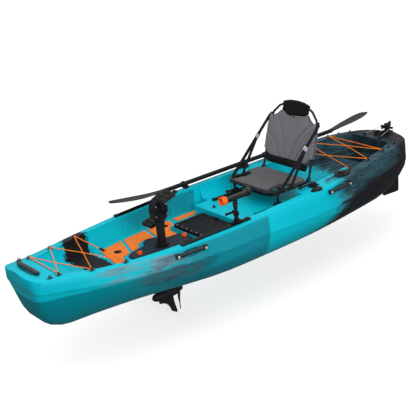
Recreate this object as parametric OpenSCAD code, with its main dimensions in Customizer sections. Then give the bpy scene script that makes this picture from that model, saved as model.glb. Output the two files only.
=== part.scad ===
// Sit-on-top fishing kayak with a pedal drive, a framed seat, a stern rudder and its paddle.
// Frame: +X towards the bow, +Y to port, +Z up; the origin is on the flat of the keel, amidships.
// A station is a distance forward of the stern tip, measured along the hull.

/* [Hull] */
// Length of the hull from stern tip to nose
hull_l = 3270; // [3150:10:3500]
// Greatest width, at the knuckle where the side panels meet
beam = 860; // [800:5:920]
// Height of the side decks above the keel amidships
side_h = 347; // [335:1:375]
// Thickness of the moulded wall
wall = 5; // [4:0.5:7]
// Width of the flat side deck between the outer edge and a well
rim_w = 57; // [52:1:70]
// Half width of the flat strip along the keel
keel_flat = 55; // [35:1:80]
// Height of the footwell floor above the keel
floor_z = 190; // [170:1:205]
// Height of the deck under the seat and of the stern well
seat_deck_z = 262; // [255:1:275]
// How much a well narrows from its rim to its floor, on each side
flare = 14; // [8:1:20]

/* [Stations along the hull] */
// Front end of the footwell
foot_front = 2620; // [2560:5:2640]
// Rear end of the footwell
foot_rear = 1610; // [1580:5:1640]
// Front end of the bow well
bow_well_front = 3020; // [2960:5:3040]
// Step in the floor of the bow well
bow_well_step = 2890; // [2800:5:2920]
// Front end of the narrow deck with the rod holders
side_deck_front = 1290; // [1230:5:1320]
// Rear end of the narrow deck with the rod holders
side_deck_rear = 760; // [720:5:800]
// Rear end of the stern well
stern_well_rear = 250; // [220:5:300]

/* [Hatch] */
// Length of the hatch lid along the hull
lid_l = 254; // [200:2:270]
// Width of the hatch lid
lid_w = 310; // [240:2:320]
// Height of the lid above its deck
lid_h = 14; // [10:1:20]
// Corner radius of the lid
lid_r = 18; // [10:1:30]
// Station of the lid's rear edge
lid_rear = 1742; // [1735:1:1760]
// Height of the deck the lid lies on
lid_deck_z = 221; // [210:1:230]
// Radius of the hinge pin
lid_pin_r = 2.5; // [2:0.25:4]
// How far the lid's latch stands clear of the lid
latch_l = 46; // [36:1:60]

/* [Pedal drive] */
// Station of the drive column's axis
drive_s = 2204; // [2190:1:2215]
// Thickness of the drive's mounting plate
plate_t = 12; // [8:1:16]
// Height of the underside of the mounting plate
plate_z = 198; // [196:1:206]
// Length of the mounting plate's nose, ahead of the column
plate_nose = 236; // [200:1:240]
// Length of the mounting plate behind the column
plate_tail = 200; // [190:1:201]
// Greatest half width of the mounting plate
plate_hw = 148; // [130:1:150]
// Radius of the column
column_r = 27; // [22:1:32]
// Height of the crank axis above the keel
crank_z = 452; // [430:1:480]
// Length of a crank, from the axis to the pedal pin
crank_l = 122; // [105:1:135]
// Lean of the raised crank towards the bow, in degrees
crank_lean = 10; // [0:1:25]
// Radius of the crank axle
axle_r = 9; // [7:0.5:11]
// Radius of a pedal's pin
pedal_pin_r = 5; // [4:0.5:7]
// Length of a pedal along the hull
pedal_l = 104; // [90:1:110]
// Width of a pedal across the hull
pedal_w = 92; // [80:1:100]
// Height of the gearbox
gearbox_h = 152; // [140:1:165]
// Length of the gearbox
gearbox_l = 104; // [96:1:116]
// Width of the gearbox
gearbox_w = 84; // [76:1:92]
// Depth of the propeller's axis below the keel
prop_drop = 127; // [120:1:140]
// Radius of the propeller
prop_r = 146; // [120:1:148]
// Radius of the propeller shaft
prop_shaft_r = 6; // [5:0.5:8]
// Depth of the skeg's tip below the keel
skeg_drop = 288; // [276:1:310]
// Running clearance between a shaft and its bore
run_fit = 0.05; // [0.02:0.01:0.09]

/* [Seat] */
// Width of the seat frame, over its tubes
seat_w = 464; // [440:2:480]
// Length of the seat pan
pan_l = 352; // [340:2:380]
// Height of the pan's front tube above the keel
pan_z = 374; // [366:1:396]
// Drop of the pan from its front tube to its rear tube
pan_drop = 18; // [10:1:30]
// Station of the pan's front tube
pan_front = 1462; // [1450:2:1480]
// Length of the seat back
back_l = 500; // [480:2:510]
// Lean of the seat back behind upright, in degrees
back_lean = 17; // [12:1:24]
// Radius of the frame tubes
tube_r = 11; // [9:0.5:13]
// Half distance between the seat rails
rail_y = 212; // [204:1:216]
// Travel of the seat along its rails
seat_travel = 60; // [30:5:70]

/* [Rudder] */
// Station of the rudder's post
post_s = 62; // [56:1:70]
// Radius of the rudder's post
post_r = 8; // [6:0.5:10]
// Length of the rudder blade along the hull
blade_l = 182; // [150:2:200]
// Depth of the rudder blade's tip below the keel
blade_drop = 126; // [110:1:150]
// Thickness of the rudder blade
blade_t = 9; // [7:1:12]

/* [Deck fittings] */
// Radius of the shock cord
cord_r = 3; // [2:0.25:4]
// Width of a gear track
track_w = 30; // [26:1:36]
// Length of a gear track
track_l = 470; // [380:5:480]
// Station of the rear end of the gear tracks
track_rear = 1812; // [1800:1:1830]
// Inner radius of a flush rod holder
rod_r = 21; // [19:0.5:24]
// Depth of a flush rod holder
rod_deep = 215; // [180:5:230]
// Thickness of the foam deck pads
pad_t = 5; // [3:0.5:7]
// Radius of the paddle shaft
shaft_r = 15; // [13:0.5:17]
// Length of the paddle
paddle_l = 2390; // [2300:10:2450]
// Width of a paddle blade
paddle_blade_w = 172; // [150:2:190]

/* [Track rod holder] */
// Station of the rod holder on the port track
mount_s = 1886; // [1880:1:1940]
// Height of the rod holder's tilt bolt above the track
tilt_h = 66; // [60:1:80]
// Distance from the tilt bolt to the cradle's joint
arm_l = 84; // [70:1:95]
// Inner radius of the rod cradle
cradle_r = 19; // [17:0.5:22]
// Length of the rod cradle
cradle_l = 212; // [180:2:230]

/* [Hidden] */

fine = 48;
join = 0.3;

teal = [0.0, 0.72, 0.80];
slate = [0.13, 0.15, 0.18];
black = [0.05, 0.05, 0.06];
orange = [0.98, 0.45, 0.12];
steel = [0.72, 0.73, 0.75];
mesh_grey = [0.43, 0.43, 0.47];

// ---------- curves that fair the hull ----------

function rise(t, i) = (t[i + 1][1] - t[i][1]) / (t[i + 1][0] - t[i][0]);
function lean(t, i) = (i == 0) ? rise(t, 0) : (i == len(t) - 1) ? rise(t, i - 1) : (rise(t, i - 1) + rise(t, i)) / 2;
function span(t, u, i = 0) = (i >= len(t) - 2 || u < t[i + 1][0]) ? i : span(t, u, i + 1);
// A smooth curve through the points of a table
function fair(t, u) = let (i = span(t, u), h = t[i + 1][0] - t[i][0], v = (u - t[i][0]) / h)
    (2 * v ^ 3 - 3 * v ^ 2 + 1) * t[i][1] + (v ^ 3 - 2 * v ^ 2 + v) * h * lean(t, i)
    + (3 * v ^ 2 - 2 * v ^ 3) * t[i + 1][1] + (v ^ 3 - v ^ 2) * h * lean(t, i + 1);

// Each curve runs from stern (0) to nose (1)
beam_curve = [[0, 0.42], [0.1, 0.70], [0.205, 0.86], [0.367, 0.975], [0.51, 1], [0.664, 0.975], [0.835, 0.765],
    [0.93, 0.52], [1, 0.36]];
// Height of the deck's edge above the amidships side deck
sheer_curve = [[0, 18], [0.08, 36], [0.14, 38], [0.25, 15], [0.37, 3], [0.55, 0], [0.70, -6], [0.81, -5], [0.875, 3],
    [0.93, 20], [1, 48]];
// Height of the knuckle above the keel
knuckle_curve = [[0, 232], [0.1, 212], [0.205, 222], [0.367, 204], [0.51, 230], [0.664, 240], [0.835, 268], [0.9, 282],
    [1, 306]];
// Exponent of the rounded underbody, from a full stern to a sharp bow
fullness_curve = [[0, 2.4], [0.3, 2.7], [0.6, 2.8], [0.77, 1.8], [0.93, 1.7], [1, 1.7]];
// Edge of the deck as a share of the knuckle's width
tumble_curve = [[0, 0.96], [0.13, 0.94], [0.35, 0.94], [0.55, 0.93], [0.8, 0.94], [0.95, 0.98], [1, 1]];
ledge_curve = [[0, 5], [0.2, 4], [0.5, 4], [0.68, 6], [0.82, 13], [0.92, 22], [1, 26]];
// Rise of the keel line near the stem, by distance from the nose
stem_curve = [[0, 366], [6, 334], [34, 304], [44, 262], [75, 178], [122, 94], [190, 30], [240, 9], [300, 0]];
// Rise of the keel line near the stern, by station
stern_curve = [[0, 262], [14, 214], [40, 168], [80, 142], [130, 112], [210, 66], [320, 26], [420, 8], [520, 0]];

stern_round = 130;
nose_round = 96;
function round_end(d, r, p) = d >= r ? 1 : (1 - (1 - max(d, 0) / r) ^ p) ^ (1 / p);
function knuckle_y(s) = beam / 2 * fair(beam_curve, s / hull_l) * round_end(s, stern_round, 2)
    * round_end(hull_l - s, nose_round, 3.4);
function edge_y(s) = knuckle_y(s) * fair(tumble_curve, s / hull_l);
function edge_z(s) = side_h + fair(sheer_curve, s / hull_l);
function keel_z(s) = (s < 520) ? fair(stern_curve, s) : (s > hull_l - 300) ? fair(stem_curve, hull_l - s) : 0;
function crown(s) = 5 * max(0, (s / hull_l - 0.88) / 0.12) + 6;
// Width of the ledge under the knuckle, which grows towards the bow
function ledge(s) = fair(ledge_curve, s / hull_l);
function well_y(s) = edge_y(s) - rim_w;

function x_of(s) = s - hull_l / 2;
module at(s, y, z) { translate([x_of(s), y, z]) children(); }
module both_sides() { children(); mirror([0, 1, 0]) children(); }

// One cross-section of the hull, from the keel round to the middle of the deck, moved inwards by t
function inset(s, t, side) = side > 0 ? min(knuckle_y(s - t), knuckle_y(s + t)) - t
    : min(edge_y(s - t), edge_y(s + t)) - t;
function half_section(s, t) =
    let (kw = inset(s, t, 1), gw = inset(s, t, -1), gz = edge_z(s) - t,
        k0 = max(keel_z(max(s - t, 0)), keel_z(min(s + t, hull_l))) + t,
        kz = min(max(fair(knuckle_curve, s / hull_l) + t, k0 + 14), gz - 18),
        in = min(ledge(s), kw * 0.3), bw = kw - in, bz = kz - min(in * 0.5, (kz - k0) * 0.5),
        p = 2 / fair(fullness_curve, s / hull_l), kf = min(keel_flat, bw * 0.3))
    concat([[0, k0]],
        [for (a = [0, 16, 32, 48, 64, 78, 90])
            [kf + (bw - kf) * sin(a) ^ p, bz - (bz - k0) * cos(a) ^ p]],
        [[kw, kz], [kw + (gw - kw) * 0.55 + 1, kz + (gz - kz) * 0.5], [gw, gz - 9], [gw - min(5, gw * 0.1), gz - 2],
            [gw - min(14, gw * 0.25), gz], [gw * 0.45, gz + crown(s) * 0.8], [0, gz + crown(s)]]);
function ring(s, t) = let (h = half_section(s, t), n = len(h))
    [for (i = [0 : 2 * n - 3]) i < n ? [x_of(s), h[i][0], h[i][1]] : [x_of(s), -h[2 * n - 2 - i][0], h[2 * n - 2 - i][1]]];

stern_rows = [3, 12, 28, 50, 80, 120, 170, 230, 310, 400, 520];
stem_rows = [300, 240, 190, 150, 120, 96, 75, 58, 46, 34, 22, 12, 5, 2];
mid_rows = 17;
function rows(t) = concat([for (s = stern_rows) if (s > 4 * t) s],
    [for (i = [1 : mid_rows - 1]) 520 + i * (hull_l - 820) / mid_rows],
    [for (d = stem_rows) if (d > 4 * t) hull_l - d]);

// Joins rings of equal length into a closed skin
module skin(rings) {
    n = len(rings[0]);
    last = len(rings) - 1;
    polyhedron(points = [for (r = rings) for (p = r) p],
        faces = concat([[for (i = [0 : n - 1]) i]], [[for (i = [n - 1 : -1 : 0]) last * n + i]],
            [for (k = [0 : last - 1]) for (i = [0 : n - 1])
                let (a = k * n + i, b = k * n + (i + 1) % n) each [[a, a + n, b], [b, a + n, b + n]]]),
        convexity = 10);
}
module body_form(t) { skin([for (s = rows(t)) ring(s, t)]); }

fillet = 12;
// A well with flared sides that follow the deck's edge: rows are [station, extra inset, floor height]
function well_ring(s, inset_y, z, t) =
    let (w = well_y(s) - inset_y + t, f = w - flare, top = side_h + 120)
    [[-w, top], [-w, edge_z(s) - 12], [-f, z - t + 20], [fillet - f, z - t], [f - fillet, z - t], [f, z - t + 20],
        [w, edge_z(s) - 12], [w, top]];
module well(list, t) {
    last = len(list) - 1;
    skin([for (i = [0 : last]) let (r = list[i], s = i == 0 ? r[0] - t : i == last ? r[0] + t : r[0])
        [for (p = well_ring(r[0], r[1], r[2], t)) [x_of(s), p[0], p[1]]]]);
}
function between(a, b, n) = [for (i = [0 : n]) a + (b - a) * i / n];

bow_step_z = floor_z + 58;
bow_shelf_z = floor_z + 108;
console_hw = 178;
step_hw = 258;
side_deck_in = 64;

module footwell(t) { well([for (s = between(foot_rear, foot_front, 8)) [s, 0, floor_z]], t); }
module bow_well(t) {
    well([for (s = between(foot_front - 20, bow_well_step, 3)) [s, 4, bow_step_z]], t);
    well([for (s = between(bow_well_step - 20, bow_well_front, 2)) [s, 8, bow_shelf_z]], t);
}
module seat_well(t) {
    well([for (s = between(side_deck_front, foot_rear + 30, 3)) [s, 4, seat_deck_z]], t);
    well([for (s = between(side_deck_rear, side_deck_front + 20, 4)) [s, side_deck_in, seat_deck_z]], t);
}
module stern_well(t) {
    well([for (s = between(stern_well_rear, side_deck_rear + 20, 5)) [s, 10 + 22 * (s < 400 ? 1 - (s - stern_well_rear) / 150 : 0),
        seat_deck_z]], t);
    at(300 - t, -96 - t, seat_deck_z - 62 - t) cube([140 + 2 * t, 192 + 2 * t, 120]);
}

lid_front = lid_rear + lid_l;
console_rear = foot_rear - 20;
console_front = lid_front + 4;
step_z = seat_deck_z - 1.5;
// The raised deck round the hatch, and the low step that the drive plate lies on
module console(t) {
    at(console_rear, -console_hw + t, floor_z - 30) cube([console_front - console_rear - t, 2 * console_hw - 2 * t,
        lid_deck_z - floor_z + 30 - t]);
    at(console_rear, -step_hw + t, floor_z - 30) cube([lid_rear - 14 - console_rear - t, 2 * step_hw - 2 * t,
        step_z - floor_z + 30 - t]);
    translate([0, 0, floor_z - 30]) linear_extrude(plate_z - floor_z + 30 - t) offset(delta = 22 - t) plate_outline();
}
hatch_edge = 22;
module hatch_opening(t) {
    at(lid_rear + hatch_edge - t, -lid_w / 2 + hatch_edge - t, floor_z - 40 - (t > 0 ? 0 : 30))
        cube([lid_l - 2 * hatch_edge + 2 * t, lid_w - 2 * hatch_edge + 2 * t, 200]);
}

slot_hw = 84;
slot_front = drive_s + 206;
slot_rear = drive_s - 158;
// The slot through the hull that the drive drops into
module drive_slot(t) {
    at(slot_rear - t, -slot_hw - t, -30) cube([slot_front - slot_rear + 2 * t, 2 * slot_hw + 2 * t, plate_z + 60]);
}

scupper_r = 17;
scuppers = [[2432, 166], [1990, 262], [1420, 262], [560, 196]];
function scupper_z(i) = i < 2 ? floor_z : seat_deck_z;
module scupper_holes(t) {
    both_sides() for (p = scuppers) at(p[0], p[1], -30) cylinder(h = 330, r = scupper_r + t, $fn = 20);
}

// Scoops behind the four carry handles, and the dish under the bow handle
handle_half = 108;
front_handle_s = 2272;
rear_handle_s = 1002;
function handle_y(s) = edge_y(s) + 6;
function handle_z(s) = edge_z(s) - 34;
module scoop(s, t) {
    at(s, handle_y(s) + 6, handle_z(s) - 4) scale([82 + t, 28 + t, 24 + t]) sphere(r = 1, $fn = 16);
}
bow_dish_s = hull_l - 134;
bow_dish_r = 44;
module bow_dish(t) {
    at(bow_dish_s, 0, edge_z(bow_dish_s) + crown(bow_dish_s) + 11.6) scale([bow_dish_r + t, 112 + t, 34 + t])
        sphere(r = 1, $fn = 20);
}
module rod_pockets(t) {
    both_sides() {
        rod_tilt_axis(oval_s, oval_y, oval_lean) translate([0, 0, -rod_deep - 14 - t])
            cylinder(h = rod_deep + 60 + t, r = rod_r + 4.4 + t, $fn = 16);
        rod_tilt_axis(round_s, round_y, 0) translate([0, 0, -rod_deep + 60 - t])
            cylinder(h = rod_deep + t, r = rod_r + 4.4 + t, $fn = 16);
    }
}
// Flat seats for the feet of the carry handles
module handle_seats(s, t) {
    handle_frame(s) for (k = [-1, 1]) translate([k * (handle_half - 14) - foot_w / 2 - join - t, handle_out - 16 - join - t, -foot_h - join - t])
        cube([foot_w + 2 * (join + t), 60, 2 * (foot_h + join + t)]);
}
post_tube_r = post_r + 6;
module post_tube(t) { at(post_s, 0, 60) cylinder(h = 400, r = post_tube_r + t, $fn = 24); }

module recesses(t) {
    difference() {
        union() {
            footwell(t);
            bow_well(t);
            seat_well(t);
            stern_well(t);
        }
        console(t);
    }
    drive_slot(t);
    scupper_holes(t);
    bow_dish(t);
    rod_pockets(t);
    post_tube(t);
    both_sides() {
        for (s = [front_handle_s, rear_handle_s]) {
            scoop(s, t);
            handle_seats(s, t);
        }
    }
}

// Buttresses up the footwell walls
rib_w = 9;
rib_d = 3;
module wall_ribs() {
    both_sides() for (s = between(foot_rear + 120, foot_front - 90, 6))
        let (w = well_y(s) + 2, h = edge_z(s) - 26)
        skin([for (k = [-1, 1]) [[x_of(s) + k * rib_w, w - flare - rib_d - 6, floor_z - 2],
            [x_of(s) + k * rib_w, w - flare + 14, floor_z - 2], [x_of(s) + k * rib_w * 0.5, w + 2, h],
            [x_of(s) + k * rib_w * 0.5, w - 5, h]]]);
}
// Low ribs along the floor of the stern well
module floor_ribs() {
    for (y = [-150 : 50 : 150]) at(stern_well_rear + 230, y - 9, seat_deck_z - 2)
        cube([side_deck_rear + 120 - stern_well_rear - 230, 18, 5]);
}
module hull_shell() {
    // The resize leaves every size alone; it joins the shell, its recesses and its ribs into one closed skin
    color(teal) resize([0, 0, 0]) {
        difference() {
            body_form(0);
            difference() {
                body_form(wall);
                recesses(wall);
            }
            recesses(0);
            hatch_opening(0);
        }
        wall_ribs();
        floor_ribs();
    }
}

// ---------- deck pads, plugs, tracks, handles ----------

plate_steps = [[1, 0.22], [0.93, 0.34], [0.28, 0.61], [0.25, 0.86], [0.12, 0.99], [-0.06, 1], [-0.2, 0.9],
    [-0.38, 0.56], [-0.55, 0.46], [-0.95, 0.42], [-1, 0.3]];
function plate_x(v) = x_of(drive_s) + (v > 0 ? v * plate_nose : v * plate_tail);
module plate_outline() {
    polygon(concat([for (p = plate_steps) [plate_x(p[0]), p[1] * plate_hw]],
        [for (i = [len(plate_steps) - 1 : -1 : 0]) [plate_x(plate_steps[i][0]), -plate_steps[i][1] * plate_hw]]));
}

groove = 11;
function pad_edge(s) = well_y(s) - flare - fillet - 2;
// A pad runs between two slanted grooves; each groove is the station at the wall and at the centre line
module pad_piece(front_out, front_in, rear_out, rear_in, y_in) {
    translate([0, 0, floor_z]) linear_extrude(pad_t) difference() {
        polygon([[x_of(front_out) - groove, pad_edge(front_out)], [x_of(front_in) - groove, y_in],
            [x_of(rear_in) + groove, y_in], [x_of(rear_out) + groove, pad_edge(rear_out)]]);
        offset(delta = 34) plate_outline();
        translate([x_of(console_rear), -console_hw - groove])
            square([console_front + groove - console_rear, 2 * (console_hw + groove)]);
        for (p = scuppers) translate([x_of(p[0]), p[1]]) circle(r = scupper_r + 9, $fn = fine);
    }
}
module deck_pads() {
    color(orange) both_sides() {
        pad_piece(foot_front - 110, foot_front - 68, drive_s + 104, drive_s + 200, 24);
        pad_piece(drive_s + 104, drive_s + 200, drive_s - 98, drive_s - 40, 24);
        pad_piece(drive_s - 98, drive_s - 40, lid_rear + 158, lid_front - 20, 24);
        pad_piece(lid_rear + 146, lid_rear + 146, foot_rear + 70, foot_rear + 70, step_hw + 8);
    }
}

module scupper_plugs() {
    color(black) both_sides() for (i = [0 : len(scuppers) - 1])
        at(scuppers[i][0], scuppers[i][1], scupper_z(i)) rotate_extrude($fn = fine) polygon([[0, -26], [scupper_r - 3, -26],
            [scupper_r - join, -2], [scupper_r - join, join], [scupper_r + 7, join], [scupper_r + 5, 6], [9, 6], [7, 3],
            [0, 3]]);
}

track_h = 9;
slot_w = 9;
slot_in_w = 19;
function gunwale_z(s, y) = let (gw = edge_y(s), gz = edge_z(s)) y > gw * 0.45
    ? gz + (crown(s) * 0.8) * max(0, (gw - 14 - y) / (gw - 14 - gw * 0.45)) : gz + crown(s) * 0.9;
track_in = 32;
function track_point(s) = let (y = edge_y(s) - track_in) [x_of(s), y, gunwale_z(s, y - track_w / 2) + join + 0.3];
// The track lies along the line between its two ends on the side deck
module along_track() {
    a = track_point(track_rear);
    b = track_point(track_rear + track_l);
    d = b - a;
    translate(a) rotate([0, -asin(d[2] / norm(d)), atan2(d[1], d[0])]) children();
}
function track_len() = norm([track_l, edge_y(track_rear + track_l) - edge_y(track_rear),
    edge_z(track_rear + track_l) - edge_z(track_rear)]);
module gear_track() {
    along_track() rotate([90, 0, 90]) linear_extrude(track_len()) difference() {
        translate([-track_w / 2, 0]) square([track_w, track_h]);
        translate([-slot_w / 2, 2]) square([slot_w, track_h]);
        translate([-slot_in_w / 2, 2]) square([slot_in_w, 4]);
    }
}
module gear_tracks() { color(black) both_sides() gear_track(); }
module track_end_fittings() {
    color(black) both_sides() along_track() {
        for (x = [-26, track_len() + join]) translate([x, -track_w / 2, 0]) cube([26 - join, track_w, track_h + 3]);
    }
}

grip_r = 11;
foot_w = 30;
foot_h = 13;
module handle_frame(s) {
    dy = (edge_y(s + 60) - edge_y(s - 60)) / 120;
    at(s, handle_y(s), handle_z(s)) rotate([0, 0, atan(dy)]) children();
}
handle_out = 14;
module carry_handle() {
    difference() {
        union() {
            translate([-handle_half + 22, handle_out, 0]) rotate([0, 90, 0]) cylinder(h = 2 * handle_half - 44, r = grip_r, $fn = fine);
            for (k = [-1, 1]) translate([k * (handle_half - 14) - foot_w / 2, handle_out - 16, -foot_h])
                cube([foot_w, 22, 2 * foot_h]);
        }
        for (k = [-1, 1]) translate([k * (handle_half - 12), handle_out + 20, 0]) rotate([90, 0, 0]) cylinder(h = 60, r = 4, $fn = 24);
    }
}
module carry_handles() {
    color(black) both_sides() {
        handle_frame(front_handle_s) carry_handle();
        handle_frame(rear_handle_s) carry_handle();
    }
}
module handle_screw() {
    translate([0, handle_out + 6 + join, 0]) rotate([-90, 0, 0]) cylinder(h = 4, r = 8, $fn = fine);
    translate([0, handle_out - 14, 0]) rotate([-90, 0, 0]) cylinder(h = 20 + 2 * join, r = 4 - join, $fn = 24);
}
module handle_screws() {
    color(steel) both_sides() for (s = [front_handle_s, rear_handle_s])
        handle_frame(s) for (k = [-1, 1]) translate([k * (handle_half - 12), 0, 0]) handle_screw();
}

bow_handle_z = edge_z(bow_dish_s) + crown(bow_dish_s) + 10.6;
module bow_handle() {
    color(black) at(bow_dish_s, 0, bow_handle_z) {
        translate([0, -84, 0]) rotate([-90, 0, 0]) cylinder(h = 168, r = 10, $fn = fine);
        for (k = [-1, 1]) translate([0, k * 92, 0]) {
            translate([-13, -17, -10]) cube([26, 34, 16]);
            translate([0, k * 8, -12]) cylinder(h = 22, r = 12, $fn = fine);
        }
    }
}

// Each anchor is [station, distance in from the deck's edge, how far its foot beds into the crown's slope]
front_anchors = [[hull_l - 231, 50, 0.8], [hull_l - 408, 44, 0], [hull_l - 608, 45, 0]];
stern_anchors = [[418, 40, 0], [610, 40, 0], [798, 66, 0]];
function seat_z(s, y, ds, dy) = max([for (a = [-ds, 0, ds]) for (b = [-dy, dy]) gunwale_z(s + a, y + b)]) + join + 0.2;
function anchor(a) = let (y = edge_y(a[0]) - a[1]) [x_of(a[0]), y, seat_z(a[0], y, 26, 9) - a[2]];
eye_bore = cord_r + 2.6;
eye_r = eye_bore + 3;
eye_z = 3 + eye_bore;
module pad_eye(p) {
    translate(p) difference() {
        union() {
            translate([-17, -7, 0]) cube([34, 14, 3.6]);
            translate([0, 3, eye_z]) rotate([90, 0, 0]) cylinder(h = 6, r = eye_r, $fn = fine);
        }
        translate([0, 10, eye_z]) rotate([90, 0, 0]) cylinder(h = 20, r = eye_bore, $fn = 32);
        translate([-30, -30, -60]) cube([60, 60, 60]);
    }
}
mid_eye = [1668, -122];
module pad_eyes() {
    color(black) {
        both_sides() for (a = concat(front_anchors, stern_anchors, [[hull_l - 170, 26, 0.8], [236, 44, 0.8], [330, 44, 0.6]])) pad_eye(anchor(a));
        pad_eye([x_of(mid_eye[0]), mid_eye[1], step_z + join]);
    }
}

// A straight run between two points, and a round knuckle where runs meet
module run(a, b, r, sides = 24) {
    d = b - a;
    translate(a) rotate([0, acos(d[2] / norm(d)), atan2(d[1], d[0])]) cylinder(h = norm(d), r = r, $fn = sides);
}
module knuckle(a, r, sides = 24) { translate(a) sphere(r = r + 0.4, $fn = sides); }
cord_sides = 8;
cross_over = 0.6;
// Each lacing is a list of runs: [anchor, side] to [anchor, side]
function cord_end(anchors, e) = let (p = anchor(anchors[e[0]])) [p[0], e[1] * p[1], p[2] + eye_z];
module lacing(anchors, runs) {
    for (i = [0 : len(runs) - 1]) let (r = runs[i], over = [0, 0, i % 2 == 0 ? -cross_over : cross_over])
        run(cord_end(anchors, r[0]) + over, cord_end(anchors, r[1]) + over, cord_r, cord_sides);
    for (i = [0 : len(anchors) - 1]) for (k = [-1, 1]) knuckle(cord_end(anchors, [i, k]), eye_bore - join - 0.4, cord_sides);
}
module front_bungee() {
    color(orange) lacing(front_anchors, [[[0, -1], [0, 1]], [[0, -1], [1, 1]], [[1, -1], [0, 1]],
        [[1, -1], [2, 1]], [[2, -1], [1, 1]], [[2, -1], [2, 1]]]);
}
module stern_bungee() {
    color(orange) lacing(stern_anchors, [[[0, -1], [0, 1]], [[0, -1], [1, 1]], [[0, 1], [1, -1]],
        [[1, -1], [2, 1]], [[1, 1], [2, -1]]]);
}
module bungee_hook() {
    a = cord_end(front_anchors, [2, 1]);
    color(black) translate([a[0], 60, a[2] + cross_over]) rotate([90, 0, 0]) difference() {
        cylinder(h = 44, r = 8, $fn = fine);
        translate([0, 0, -1]) cylinder(h = 60, r = cord_r + join, $fn = 24);
    }
}

// ---------- flush rod holders ----------

oval_s = 890;
oval_y = 306;
oval_lean = 29;
round_s = 1176;
round_y = 360;
module rod_tilt_axis(s, y, tilt) {
    at(s, y, gunwale_z(s, y) + 2) rotate([0, -tilt, 0]) children();
}
module rod_tube(flange_z) {
    difference() {
        translate([0, 0, -rod_deep]) cylinder(h = rod_deep + flange_z, r = rod_r + 3.5, $fn = fine);
        translate([0, 0, -rod_deep + 5]) cylinder(h = rod_deep + 100, r = rod_r, $fn = fine);
    }
}
module rod_holder_tubes() {
    color(black) both_sides() {
        rod_tilt_axis(oval_s, oval_y, oval_lean) rod_tube(12);
        difference() {
            at(oval_s - 6, oval_y, gunwale_z(oval_s, oval_y) + 4 + join) scale([1, 0.66, 1]) cylinder(h = 6, r = 62, $fn = fine);
            rod_tilt_axis(oval_s, oval_y, oval_lean) translate([0, 0, -60]) cylinder(h = 160, r = rod_r, $fn = fine);
        }
    }
}
module tube_caps() {
    color(black) both_sides() at(round_s, round_y, gunwale_z(round_s, round_y) + 3) {
        cylinder(h = 8, r = rod_r + 12, $fn = fine);
        translate([40, 4, 0]) cylinder(h = 6, r = 17, $fn = fine);
        translate([0, 0, -60]) cylinder(h = 60, r = rod_r + 3.5, $fn = fine);
    }
}

// ---------- hatch ----------

coaming_h = 3;
lid_base = lid_deck_z + join + coaming_h + join;
lid_pin_s = lid_front - lid_h / 2;
lid_pin_z = lid_base + lid_h / 2;
knuckle_r = lid_h / 2 - 0.2;
knuckle_w = 26;
module block_round(l, w, h, r) {
    translate([r, 0, 0]) cube([l - 2 * r, w, h]);
    translate([0, r, 0]) cube([l, w - 2 * r, h]);
    for (x = [r, l - r]) for (y = [r, w - r]) translate([x, y, 0]) cylinder(h = h, r = r, $fn = fine);
}
module across(s, y, z, w, r) { at(s, y, z) rotate([-90, 0, 0]) cylinder(h = w, r = r, $fn = fine); }
hinge_knuckles = [-88, 0, 88];
module hatch_coaming() {
    color(black) {
        difference() {
            at(lid_rear - 3, -lid_w / 2 - 4, lid_deck_z + join) block_round(lid_l + 5, lid_w + 8, coaming_h, lid_r);
            at(lid_rear + hatch_edge, -lid_w / 2 + hatch_edge, lid_deck_z - 5)
                cube([lid_l - 2 * hatch_edge, lid_w - 2 * hatch_edge, 30]);
        }
        for (y = hinge_knuckles) difference() {
            union() {
                across(lid_pin_s, y - knuckle_w / 2, lid_pin_z, knuckle_w, knuckle_r);
                at(lid_pin_s - 5, y - knuckle_w / 2, lid_deck_z + join) cube([12, knuckle_w, lid_h / 2 + coaming_h]);
            }
            across(lid_pin_s, y - knuckle_w, lid_pin_z, 2 * knuckle_w, lid_pin_r + run_fit);
        }
    }
}
module hatch_hinge_pin() { color(steel) across(lid_pin_s, -115, lid_pin_z, 230, lid_pin_r); }
module hatch_lid() {
    color(black) difference() {
        union() {
            difference() {
                at(lid_rear, -lid_w / 2, lid_base) block_round(lid_l, lid_w, lid_h, lid_r);
                at(lid_pin_s, -lid_w, lid_base - 1) cube([60, 2 * lid_w, 60]);
            }
            across(lid_pin_s, -lid_w / 2 + 12, lid_pin_z, lid_w - 24, knuckle_r);
        }
        at(lid_rear + 26, -lid_w / 2 + 26, lid_base + lid_h - 2.5) block_round(lid_l - 60, lid_w - 52, 10, lid_r);
        for (y = hinge_knuckles) at(lid_pin_s - knuckle_r - 3, y - knuckle_w / 2 - 0.5, lid_base - 1)
            cube([30, knuckle_w + 1, 60]);
        across(lid_pin_s, -lid_w, lid_pin_z, 2 * lid_w, lid_pin_r + run_fit);
    }
}
// A twist latch on the lid's aft edge
module hatch_latch() {
    color(black) at(lid_rear + 14, 0, lid_base + lid_h + join) {
        cylinder(h = 4, r = 11, $fn = fine);
        translate([-5, -latch_l / 2, 3]) cube([10, latch_l, 6]);
    }
}

// ---------- pedal drive ----------

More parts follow.
